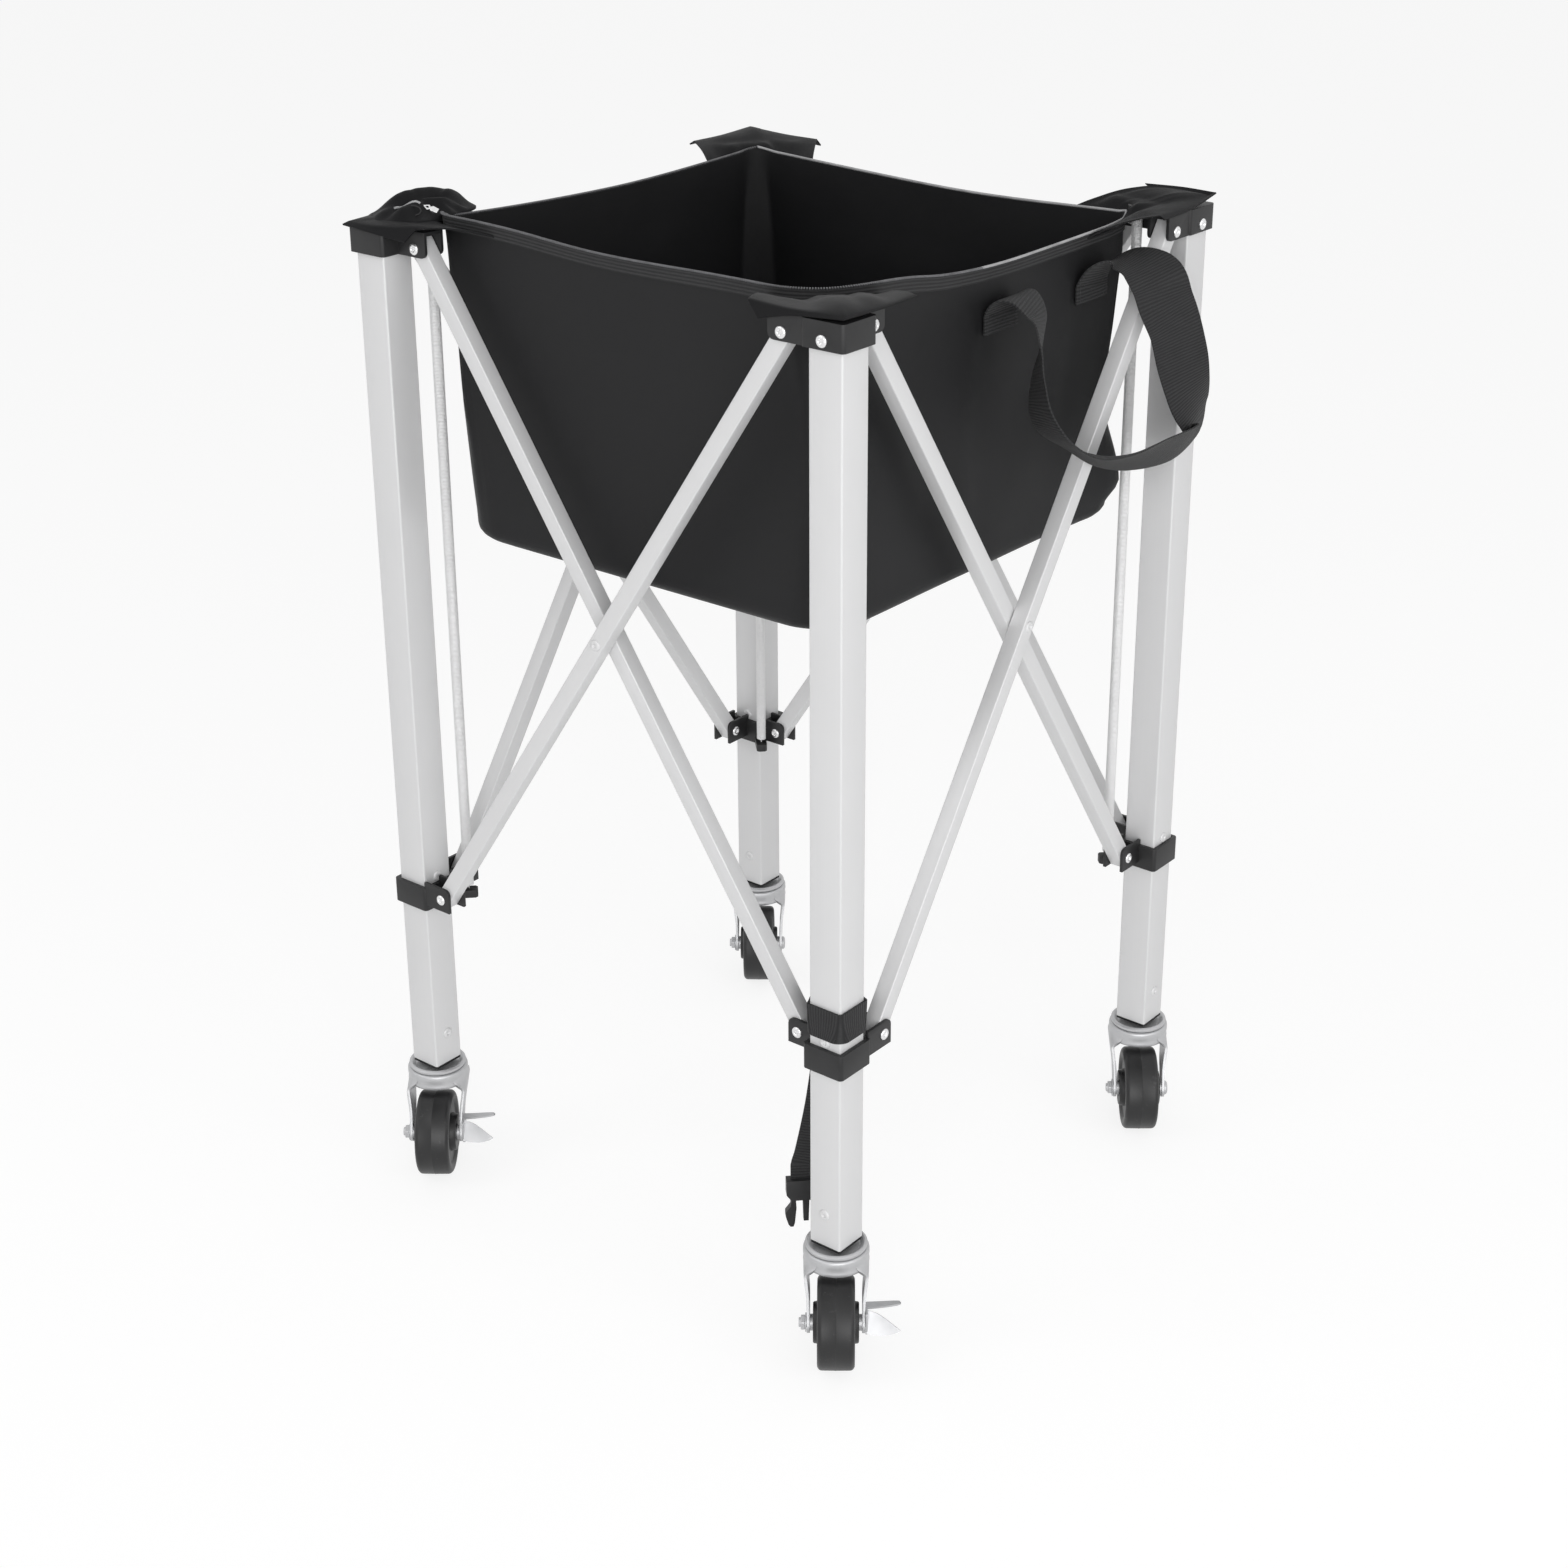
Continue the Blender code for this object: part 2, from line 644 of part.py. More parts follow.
def bag_mesh():
    """An open box of fabric with round corners, and a floor that sags in the middle."""
    sagging = 0.55
    levels = [
        (BAG_RIM_Z, BAG_HALF, BAG_CORNER),
        (BAG_RIM_Z - BAG_DEPTH / 2, BAG_HALF + BAG_TAPER, BAG_CORNER),
        (BAG_FLOOR_Z + BAG_HEM, BAG_HALF, BAG_CORNER),
        (BAG_FLOOR_Z, BAG_HALF - BAG_HEM, BAG_CORNER),
        (BAG_FLOOR_Z - BAG_SAG * (1 - sagging * sagging), BAG_HALF * sagging, BAG_CORNER * sagging),
    ]

    def skin(bm, inset, lift):
        """One side of the cloth: its rings from the rim down, closed by a point in the floor."""
        rows = []
        for i, (z, half, corner) in enumerate(levels):
            raised = lift if i > 2 else 0.0
            ring = rounded_square(half - inset, corner - inset / 2, 4)
            rows.append([bm.verts.new((x, y, z + raised)) for x, y in ring])
        count = len(rows[0])
        for high, low in zip(rows, rows[1:]):
            for i in range(count):
                j = (i + 1) % count
                bm.faces.new((high[i], high[j], low[j], low[i]))
        middle = bm.verts.new((0, 0, BAG_FLOOR_Z - BAG_SAG + lift))
        for i in range(count):
            bm.faces.new((rows[-1][i], rows[-1][(i + 1) % count], middle))
        return rows[0]

    bm = bmesh.new()
    outer = skin(bm, 0.0, 0.0)
    inner = skin(bm, FABRIC, FABRIC)
    for i in range(len(outer)):
        j = (i + 1) % len(outer)
        bm.faces.new((outer[i], outer[j], inner[j], inner[i]))
    return closed(bm, "bag")


def zip_mesh():
    """The zip chain, a closed band just outside the rim of the bag."""
    near = BAG_HALF + CLEARANCE
    low = BAG_RIM_Z - ZIP_HEIGHT
    rings = []
    for reach, z in ((near, low), (near + ZIP_WIDTH, low), (near + ZIP_WIDTH, BAG_RIM_Z), (near, BAG_RIM_Z)):
        corner = BAG_CORNER + reach - BAG_HALF
        rings.append([(x, y, z) for x, y in rounded_square(reach, corner, 4)])
    return loft(rings, "zip_chain", caps=False)


def flap_mesh():
    """The stiff corner of the bag that lies over a top bracket."""
    edge = COLLAR - CLEARANCE
    short = EAR_ROOT * 2
    waist = BAG_INSET + short
    outline = [
        (edge, -edge),
        (edge - short, FLAP_REACH),
        (-BRACKET_ARM_END, FLAP_REACH - short),
        (-waist, waist),
        (short - FLAP_REACH, BRACKET_ARM_END),
        (-FLAP_REACH, short - edge),
    ]
    low = BRACKET_TOP + CLEARANCE
    return prism(outline, low, low + FLAP_THICKNESS, "flap")


def lid_mesh():
    """The unzipped lid, gathered into a low roll across the left corner."""
    low = BRACKET_TOP + FLAP_THICKNESS + 2 * CLEARANCE
    rings = []
    for along, thickness in ((-0.5, 0.4), (-0.3, 0.8), (0.0, 1.0), (0.3, 0.9), (0.5, 0.5)):
        radius = LID_RADIUS * thickness
        ring = []
        for i in range(8):
            angle = 2 * math.pi * i / 8
            wide = radius * 1.6 * math.cos(angle)
            ring.append((wide, LID_LENGTH * along, low + radius + radius * math.sin(angle)))
        rings.append(ring)
    return loft(rings, "lid")


def smooth_route(points, steps):
    """Points read evenly from a Catmull-Rom curve through the route's own points."""
    route = [Vector(p) for p in points]
    ends = [2 * route[0] - route[1], *route, 2 * route[-1] - route[-2]]
    fine = []
    for i in range(1, len(ends) - 2):
        a, b, c, d = ends[i - 1 : i + 3]
        for step in range(steps):
            t = step / steps
            square = (2 * a - 5 * b + 4 * c - d) * t * t
            fine.append(0.5 * (2 * b + (c - a) * t + square + (3 * b - a - 3 * c + d) * t ** 3))
    fine.append(route[-1])
    return fine


def ribbon(route, across, width, thickness, name):
    """A flat strap along a route. across gives the width's direction at each point."""
    rings = []
    for i, spot in enumerate(route):
        ahead = route[min(i + 1, len(route) - 1)] - route[max(i - 1, 0)]
        ahead.normalize()
        wide = across[i] - ahead * across[i].dot(ahead)
        wide.normalize()
        thick = ahead.cross(wide)
        rings.append(
            [
                spot + wide * width / 2 + thick * thickness / 2,
                spot - wide * width / 2 + thick * thickness / 2,
                spot - wide * width / 2 - thick * thickness / 2,
                spot + wide * width / 2 - thick * thickness / 2,
            ]
        )
    return loft(rings, name)


# The right handle. Each row has the distance out from the bag's side, along the side
# and below the rim, then the direction of the webbing's width.
HANDLE_ROUTE = (
    (0.0000, 0.140, 0.066, (0.0, 1.0, 0.0)),
    (0.0030, 0.140, 0.052, (0.0, 1.0, 0.0)),
    (0.0110, 0.142, 0.038, (0.0, 1.0, 0.0)),
    (0.0260, 0.149, 0.031, (0.4, 0.9, 0.2)),
    (0.0470, 0.147, 0.032, (0.5, 0.8, 0.2)),
    (0.0640, 0.141, 0.042, (0.6, 0.7, 0.4)),
    (0.0700, 0.143, 0.058, (0.6, 0.7, 0.4)),
    (0.0740, 0.153, 0.080, (0.5, 0.8, 0.3)),
    (0.0770, 0.162, 0.108, (0.5, 0.8, 0.2)),
    (0.0790, 0.170, 0.132, (0.2, 0.9, 0.4)),
    (0.0790, 0.182, 0.154, (-0.3, 0.8, 0.5)),
    (0.0790, 0.186, 0.170, (-0.3, 0.9, -0.5)),
    (0.0780, 0.168, 0.178, (-0.6, 0.1, -0.8)),
    (0.0750, 0.119, 0.176, (-0.7, 0.1, -0.7)),
    (0.0720, 0.074, 0.169, (-0.9, 0.1, -0.4)),
    (0.0640, 0.040, 0.157, (-1.0, 0.2, 0.0)),
    (0.0560, 0.014, 0.140, (-0.9, 0.3, 0.0)),
    (0.0480, 0.004, 0.118, (-0.8, 0.5, -0.1)),
    (0.0420, 0.008, 0.094, (-0.7, 0.7, -0.1)),
    (0.0380, 0.016, 0.071, (-0.5, 0.8, 0.0)),
    (0.0330, 0.020, 0.051, (-0.4, 0.9, 0.1)),
    (0.0230, 0.016, 0.037, (-0.2, 1.0, 0.0)),
    (0.0110, 0.012, 0.038, (0.0, 1.0, 0.0)),
    (0.0030, 0.012, 0.050, (0.0, 1.0, 0.0)),
    (0.0000, 0.012, 0.064, (0.0, 1.0, 0.0)),
)


def handle_mesh(side, shift):
    """A webbing loop sewn to the bag at both ends, hanging out over the frame.

    side is 1 on the right and -1 on the left, and shift moves the loop along its side.
    """
    points = [(BAG_HALF + out, along + shift, BAG_RIM_Z - down) for out, along, down, _ in HANDLE_ROUTE]
    route = smooth_route(points, 2)
    for spot in route:
        bulge = BAG_TAPER * (BAG_RIM_Z - spot.z) / (BAG_DEPTH / 2)
        spot.x = side * max(spot.x, BAG_HALF + bulge + WEBBING / 2 + 2 * CLEARANCE)
    across = smooth_route([(side * x, y, z) for _, _, _, (x, y, z) in HANDLE_ROUTE], 2)
    return ribbon(route, across, HANDLE_WIDTH, WEBBING, "handle")


# The strap's tail. Each row has the share of the way down, then the swing along X and Y.
TAIL_ROUTE = ((0.0, 0.0, 0.0), (0.3, 0.0, 0.0), (0.6, -0.006, -0.002), (0.85, -0.013, -0.007))
TAIL_END_SWING = (-0.016, -0.010)


def strap_mesh():
    """The tie strap: a band round the front leg, and its tail hanging behind the leg."""
    centre_line = TUBE - LEG_EDGE
    wrap = LEG_EDGE + STRAP_SLACK + WEBBING / 2
    back = STRAP_REACH
    ends = STRAP_WIDTH / 6
    outline = [(-back - ends, back - ends)]
    for start, x, y in ((180, -1, -1), (270, 1, -1), (0, 1, 1)):
        for step in range(4):
            angle = math.radians(start + 30 * step)
            outline.append((x * centre_line + wrap * math.cos(angle), y * centre_line + wrap * math.sin(angle)))
    outline.append((-back + ends, back + ends))
    centre = Vector((HALF, -HALF, 0))
    band = []
    for u, v in outline:
        band.append(Vector((u, v, STRAP_Z + STRAP_WIDTH / 2)) + centre)
    mesh = ribbon(band, [Vector((0, 0, 1))] * len(band), STRAP_WIDTH, WEBBING, "strap")
    behind = (WEBBING + CLEARANCE) / math.sqrt(2)
    joint = Vector((-back - behind, back + behind, 0)) + centre
    top = STRAP_Z + STRAP_WIDTH
    foot = BUCKLE_FOOT_Z + BUCKLE_LENGTH
    tail_route = []
    for share, swing_x, swing_y in TAIL_ROUTE:
        tail_route.append(joint + Vector((swing_x, swing_y, top + (foot - top) * share)))
    tail_route.append(joint + Vector((*TAIL_END_SWING, foot + STRAP_WIDTH / 2)))
    slant = Vector((1, 1, 0)).normalized()
    tail = smooth_route(tail_route, 2)
    tail.append(Vector((tail[-1].x, tail[-1].y, foot + CLEARANCE)))
    return mesh, ribbon(tail, [slant] * len(tail), STRAP_WIDTH, WEBBING, "strap_tail"), tail[-1]


def buckle_mesh():
    """The prong half of a side-release buckle, hanging tip down."""
    half = BUCKLE_WIDTH / 2
    right_side = [
        (0.95, 0.00),
        (0.95, 0.30),
        (0.72, 0.42),
        (0.72, 0.58),
        (1.00, 0.70),
        (0.86, 0.97),
        (0.62, 1.00),
        (0.42, 0.50),
        (0.16, 0.50),
        (0.14, 0.92),
    ]
    outline = [(half * across, -BUCKLE_LENGTH * down) for across, down in right_side]
    outline += [(-x, z) for x, z in reversed(outline)]
    return prism(outline, -BUCKLE_DEPTH / 2, BUCKLE_DEPTH / 2, "buckle", lambda u, v, w: (u, w, v))


def main():
    clear_scene()
    satin = material("satin_aluminium", (0.78, 0.78, 0.79), 0.32, 1.0)
    moulded = material("moulded_black", (0.035, 0.035, 0.037), 0.42)
    zinc = material("zinc_plate", (0.80, 0.80, 0.81), 0.22, 1.0)
    rubber = material("wheel_black", (0.030, 0.030, 0.031), 0.5)
    cloth = material("bag_cloth", (0.028, 0.028, 0.030), 0.55)
    woven = material("webbing", (0.020, 0.020, 0.021), 0.8)
    wire = material("spring_wire", (0.75, 0.75, 0.76), 0.3, 1.0)

    leg = leg_mesh()
    bracket = bracket_mesh()
    slider = slider_mesh()
    outer_strut = strut_mesh(True)
    inner_strut = strut_mesh(False)
    plug = plug_mesh()
    head = head_mesh()
    fork = fork_mesh()
    wheel = wheel_mesh()
    axle = axle_mesh(0.0)
    braked_axle = axle_mesh(PEDAL_WALL + CLEARANCE)
    pedal = pedal_mesh()
    spring_top = BRACKET_TOP - LUG_HEIGHT - CLEARANCE
    spring_foot = SLIDER_BOTTOM + LUG_HEIGHT + CLEARANCE
    spring = spring_mesh(spring_top - spring_foot)
    flap = flap_mesh()

    turns = [empty("corner_" + name, (0, 0, 0), turn=k * math.pi / 2) for k, name in enumerate(CORNERS)]
    for k, name in enumerate(CORNERS):
        turn = turns[k]
        behind = CORNERS[k - 1]
        piece("leg_" + name, leg, satin, turn, (HALF, -HALF, 0))
        piece("top_bracket_" + name, bracket, moulded, turn, (HALF, -HALF, 0))
        piece("leg_plug_" + name, plug, moulded, turn, (HALF, -HALF, 0))
        piece("caster_head_" + name, head, zinc, turn, (HALF, -HALF, 0), smooth=True)
        piece("corner_flap_" + name, flap, cloth, turn, (HALF, -HALF, 0))
        hinge = empty("slider_pin_" + name, (HALF - PIN_OFFSET, -HALF, SLIDER_PIN_Z), turn)
        piece("slider_" + name, slider, moulded, hinge, (PIN_OFFSET, 0, -SLIDER_PIN_Z))
        piece(
            "spring_" + name,
            spring,
            wire,
            turn,
            (HALF - SPRING_REACH, -HALF + SPRING_REACH, spring_top),
            smooth=True,
        )
        piece(
            "outer_strut_" + name,
            outer_strut,
            satin,
            turn,
            (HALF - PIN_OFFSET, -HALF - PLANE, TOP_PIN_Z),
            (0, OPEN_ANGLE, 0),
        )
        piece(
            "inner_strut_" + behind,
            inner_strut,
            satin,
            turn,
            (-HALF + PIN_OFFSET, -HALF + PLANE, TOP_PIN_Z),
            (0, -OPEN_ANGLE, 0),
        )

        corner = Matrix.Rotation(k * math.pi / 2, 4, "Z") @ Vector((HALF, -HALF, 0))
        swivel = empty("swivel_" + name, corner, turn=HEADING)
        piece("caster_fork_" + name, fork, zinc, swivel, smooth=True)
        hub = empty("hub_" + name, (0, -TRAIL, WHEEL_Z), swivel)
        piece("wheel_" + name, wheel, rubber, hub, smooth=True)
        braked = name in BRAKED
        piece("wheel_axle_" + name, braked_axle if braked else axle, zinc, hub, smooth=True)
        if braked:
            piece("brake_pedal_" + name, pedal, zinc, hub)

    piece("ball_bag", bag_mesh(), cloth, smooth=True)
    piece("zip_chain", zip_mesh(), woven)
    lid_turn = math.radians(-45)
    lid_at = HALF - LID_RADIUS
    piece("lid_roll", lid_mesh(), cloth, turns[3], (lid_at, -lid_at, 0), (0, 0, lid_turn), smooth=True)
    piece("handle_right", handle_mesh(1, 0), woven)
    piece("handle_left", handle_mesh(-1, -LEFT_HANDLE_SHIFT), woven)
    strap, tail, tail_end = strap_mesh()
    piece("tie_strap", strap, woven)
    piece("strap_tail", tail, woven)
    piece(
        "buckle_half",
        buckle_mesh(),
        moulded,
        location=(tail_end.x, tail_end.y, BUCKLE_FOOT_Z + BUCKLE_LENGTH),
        turn=(0, 0, math.radians(45)),
    )


main()
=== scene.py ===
import json
import math

import bmesh
import bpy
from mathutils import Matrix, Vector, noise

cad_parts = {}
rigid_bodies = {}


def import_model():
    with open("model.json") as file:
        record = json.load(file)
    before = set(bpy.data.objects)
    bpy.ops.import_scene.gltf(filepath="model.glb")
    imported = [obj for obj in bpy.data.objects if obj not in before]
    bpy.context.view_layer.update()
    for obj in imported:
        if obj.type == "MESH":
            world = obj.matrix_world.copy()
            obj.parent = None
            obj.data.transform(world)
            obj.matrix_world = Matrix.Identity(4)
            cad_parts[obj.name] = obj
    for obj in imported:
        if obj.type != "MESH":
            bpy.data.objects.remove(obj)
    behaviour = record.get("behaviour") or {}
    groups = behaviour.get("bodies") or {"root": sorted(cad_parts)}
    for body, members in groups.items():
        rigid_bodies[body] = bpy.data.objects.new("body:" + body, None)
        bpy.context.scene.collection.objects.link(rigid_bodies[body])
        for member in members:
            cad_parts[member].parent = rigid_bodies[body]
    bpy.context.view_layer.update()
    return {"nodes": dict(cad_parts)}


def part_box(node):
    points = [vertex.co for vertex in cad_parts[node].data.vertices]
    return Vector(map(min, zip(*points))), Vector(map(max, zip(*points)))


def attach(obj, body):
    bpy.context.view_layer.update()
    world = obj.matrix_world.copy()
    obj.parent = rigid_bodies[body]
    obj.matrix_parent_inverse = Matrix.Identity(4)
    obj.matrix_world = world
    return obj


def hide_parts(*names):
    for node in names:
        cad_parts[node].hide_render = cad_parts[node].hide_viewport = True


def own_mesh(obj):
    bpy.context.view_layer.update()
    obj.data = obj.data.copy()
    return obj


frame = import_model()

corners = ("front", "right", "back", "left")

shot = {
    "position": (1.2973, -1.6040, 1.3040),  # metres, from the photograph's own perspective
    "headingDeg": 38.27,  # turn of the view away from +Y
    "pitchDeg": 23.10,  # how far it looks down
    "lens": 60.0,
    "sensor": 36,
    "shift": (-0.0234, -0.05),
    "farthest": 60,
}
light = {
    "ambient": 0.42,
    # name, place, watts and side in metres
    "lamps": (
        ("keyLight", (-1.6, -2.6, 2.7), 14.0, 1.6),
        ("fillLight", (2.9, -0.2, 1.7), 14.0, 1.8),
        ("frontLight", (3.0, -3.3, 1.3), 114.0, 3.4),
    ),
    "aimHeight": 0.45,
    "floorHalf": 14.0,
    "floorDrop": 0.0006,
    "floorColor": (0.93, 0.93, 0.93, 1),
    "floorShade": 0.30,  # share of real shading that the white floor keeps
    "floorGlow": 1.15,
}
white = (1, 1, 1, 1)


def linkObject(name, data):
    made = bpy.data.objects.new(name, data)
    bpy.context.scene.collection.objects.link(made)
    return made


def fill(tree, node, inputs):
    # Each input is set to its value, or linked where the value is a socket
    for key, value in inputs.items():
        if isinstance(value, bpy.types.NodeSocket):
            tree.links.new(value, node.inputs[key])
        else:
            node.inputs[key].default_value = value
    return node


def wired(tree, kind, inputs=(), **settings):
    node = tree.nodes.new(kind)
    for key, value in settings.items():
        setattr(node, key, value)
    return fill(tree, node, dict(inputs))


def makeCamera():
    data = bpy.data.cameras.new("photoCamera")
    camera = linkObject("photoCamera", data)
    camera.location = shot["position"]
    camera.rotation_euler = (math.radians(90 - shot["pitchDeg"]), 0, math.radians(shot["headingDeg"]))
    data.lens = shot["lens"]
    data.sensor_width = shot["sensor"]
    data.shift_x, data.shift_y = shot["shift"]
    data.clip_end = shot["farthest"]
    bpy.context.scene.camera = camera


def larger(tree, first, second):
    return wired(tree, "ShaderNodeMath", {0: first, 1: second}, operation="MAXIMUM").outputs[0]


def makeLights():
    world = bpy.data.worlds.new("studio")
    bpy.context.scene.world = world
    world.use_nodes = True
    tree = world.node_tree
    rays = wired(tree, "ShaderNodeLightPath").outputs
    seen = larger(tree, rays["Is Camera Ray"], rays["Is Glossy Ray"])
    through = larger(tree, seen, rays["Is Transmission Ray"])
    level = wired(tree, "ShaderNodeMapRange", {"To Min": light["ambient"], "To Max": 1.0, "Value": through})
    fill(tree, tree.nodes["Background"], {"Color": white, "Strength": level.outputs["Result"]})
    for name, at, power, side in light["lamps"]:
        data = bpy.data.lights.new(name, "AREA")
        data.energy = power
        data.size = side
        lamp = linkObject(name, data)
        lamp.location = at
        toward = Vector((0, 0, light["aimHeight"])) - Vector(at)
        lamp.rotation_euler = toward.to_track_quat("-Z", "Y").to_euler()


def makeFloor():
    half, z = light["floorHalf"], -light["floorDrop"]
    mesh = bpy.data.meshes.new("floor")
    spots = [(-half, -half, z), (half, -half, z), (half, half, z), (-half, half, z)]
    mesh.from_pydata(spots, [], [(0, 1, 2, 3)])
    material = bpy.data.materials.new("paleFloor")
    material.use_nodes = True
    tree = material.node_tree
    tree.nodes.clear()
    rays = wired(tree, "ShaderNodeLightPath").outputs
    seen = larger(tree, rays["Is Camera Ray"], rays["Is Glossy Ray"])
    reach = {"To Min": 0.0, "To Max": 1 - light["floorShade"], "Value": seen}
    share = wired(tree, "ShaderNodeMapRange", reach)
    matte = wired(tree, "ShaderNodeBsdfDiffuse", {"Color": light["floorColor"]})
    glow = wired(tree, "ShaderNodeEmission", {"Color": white, "Strength": light["floorGlow"]})
    mixed = {0: share.outputs["Result"], 1: matte.outputs[0], 2: glow.outputs[0]}
    blend = wired(tree, "ShaderNodeMixShader", mixed)
    wired(tree, "ShaderNodeOutputMaterial", {"Surface": blend.outputs[0]})
    mesh.materials.append(material)
    linkObject("floor", mesh)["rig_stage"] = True


bpy.context.scene.view_settings.view_transform = "Standard"
makeCamera()
makeLights()
makeFloor()
print("stage: camera, light and floor are up")


def newFinish(name, color, roughness, metallic=0.0):
    material = bpy.data.materials.new(name)
    material.use_nodes = True
    material.diffuse_color = (*color, 1)
    tree = material.node_tree
    base = {"Base Color": (*color, 1), "Roughness": roughness, "Metallic": metallic}
    return material, tree, fill(tree, tree.nodes["Principled BSDF"], base)


def coordinates(tree, kind, scale=(1, 1, 1)):
    source = wired(tree, "ShaderNodeTexCoord").outputs[kind]
    return wired(tree, "ShaderNodeMapping", {"Scale": scale, "Vector": source}).outputs["Vector"]


def noiseField(tree, vector, scale, detail=2.0, roughness=0.5):
    inputs = {"Scale": scale, "Detail": detail, "Roughness": roughness, "Vector": vector}
    return wired(tree, "ShaderNodeTexNoise", inputs).outputs["Fac"]


def bands(tree, vector, axis, scale, distortion, detail=2.0):
    inputs = {"Scale": scale, "Distortion": distortion, "Detail": detail, "Vector": vector}
    return wired(tree, "ShaderNodeTexWave", inputs, bands_direction=axis).outputs["Fac"]


def ranged(tree, value, low, high, fromLow=0.0, fromHigh=1.0):
    inputs = {"From Min": fromLow, "From Max": fromHigh, "To Min": low, "To Max": high, "Value": value}
    return wired(tree, "ShaderNodeMapRange", inputs).outputs["Result"]


def tinted(tree, value, dark, pale):
    inputs = {"A": (*dark, 1), "B": (*pale, 1), "Factor": value}
    return wired(tree, "ShaderNodeMix", inputs, data_type="RGBA").outputs["Result"]


def summed(tree, first, firstShare, second, secondShare):
    # Two fields, each by its own share
    shares = {0: ranged(tree, first, 0, firstShare), 1: ranged(tree, second, *secondShare)}
    return wired(tree, "ShaderNodeMath", shares, operation="ADD").outputs[0]


def multiplied(tree, first, second):
    return wired(tree, "ShaderNodeMath", {0: first, 1: second}, operation="MULTIPLY").outputs[0]


def raised(tree, shader, height, strength, distance):
    bump = wired(tree, "ShaderNodeBump", {"Strength": strength, "Distance": distance, "Height": height})
    fill(tree, shader, {"Normal": bump.outputs["Normal"]})


aluminium = {
    "color": (0.745, 0.745, 0.750),
    "dark": (0.685, 0.685, 0.690),
    "metal": 0.13,  # the milky anodised skin is only slightly metallic
    "roughness": (0.36, 0.50),
    "lineAcross": 1400.0,  # die lines per metre across the tube
    "lineAlong": 5.0,
}


def aluminiumFinish():
    # UV runs round the tube and along it, in metres
    material, tree, shader = newFinish("anodisedAluminium", aluminium["color"], 0.4, aluminium["metal"])
    lines = coordinates(tree, "UV", (aluminium["lineAcross"], aluminium["lineAlong"], 1))
    drawn = noiseField(tree, lines, 1.0, 3.0, 0.6)
    cloud = noiseField(tree, coordinates(tree, "Object"), 14.0, 3.0)
    tone = summed(tree, drawn, 0.55, cloud, (0, 0.45))
    tint = tinted(tree, tone, aluminium["dark"], aluminium["color"])
    fill(tree, shader, {"Base Color": tint, "Roughness": ranged(tree, drawn, *aluminium["roughness"])})
    raised(tree, shader, drawn, 0.10, 0.0002)
    return material


plastic = {
    "color": (0.010, 0.010, 0.0105),
    "pale": (0.019, 0.019, 0.020),
    "shine": 0.42,
    "roughness": (0.40, 0.54),
}


def plasticFinish():
    material, tree, shader = newFinish("mouldedNylon", plastic["color"], 0.45)
    place = coordinates(tree, "Object")
    grain = noiseField(tree, place, 2600.0, 2.0, 0.6)
    haze = noiseField(tree, place, 45.0, 4.0, 0.65)
    tint = tinted(tree, ranged(tree, haze, 0, 1, 0.35, 0.75), plastic["color"], plastic["pale"])
    gloss = ranged(tree, haze, *plastic["roughness"])
    fill(tree, shader, {"Specular IOR Level": plastic["shine"], "Base Color": tint, "Roughness": gloss})
    raised(tree, shader, grain, 0.25, 0.00012)
    return material


zinc = {"color": (0.56, 0.56, 0.57), "dull": (0.48, 0.485, 0.495), "metal": 0.60, "roughness": (0.36, 0.50)}


def zincFinish():
    material, tree, shader = newFinish("zincPlate", zinc["color"], 0.24, zinc["metal"])
    place = coordinates(tree, "Object")
    flakes = noiseField(tree, place, 160.0, 3.0, 0.6)
    haze = noiseField(tree, place, 30.0, 3.0)
    tone = summed(tree, flakes, 0.4, haze, (0, 0.6))
    low, high = zinc["roughness"]
    tint = tinted(tree, tone, zinc["dull"], zinc["color"])
    fill(tree, shader, {"Base Color": tint, "Roughness": ranged(tree, tone, high, low)})
    raised(tree, shader, haze, 0.05, 0.0006)
    return material


rubber = {
    "color": (0.011, 0.011, 0.0115),
    "scuffed": (0.060, 0.060, 0.061),
    "shine": 0.45,
    "roughness": (0.34, 0.55),
}


def wheelFinish():
    material, tree, shader = newFinish("wheelRubber", rubber["color"], 0.42)
    place = coordinates(tree, "Object")
    dust = noiseField(tree, place, 140.0, 6.0, 0.72)
    haze = noiseField(tree, place, 26.0, 3.0)
    tint = tinted(tree, ranged(tree, dust, 0, 1, 0.60, 0.78), rubber["color"], rubber["scuffed"])
    gloss = ranged(tree, haze, *rubber["roughness"])
    fill(tree, shader, {"Specular IOR Level": rubber["shine"], "Base Color": tint, "Roughness": gloss})
    raised(tree, shader, dust, 0.12, 0.0003)
    return material


cloth = {
    "color": (0.0085, 0.0085, 0.0092),
    "pale": (0.0150, 0.0150, 0.0160),
    "wallShine": 0.20,
    "topShine": 0.075,  # the flaps and the lid lie flat under the light, and look dull
    "threadsPerMetre": 2300.0,
    "roughness": (0.42, 0.60),
}
waveTurns = math.pi / 10  # a wave texture's scale for one band in each metre


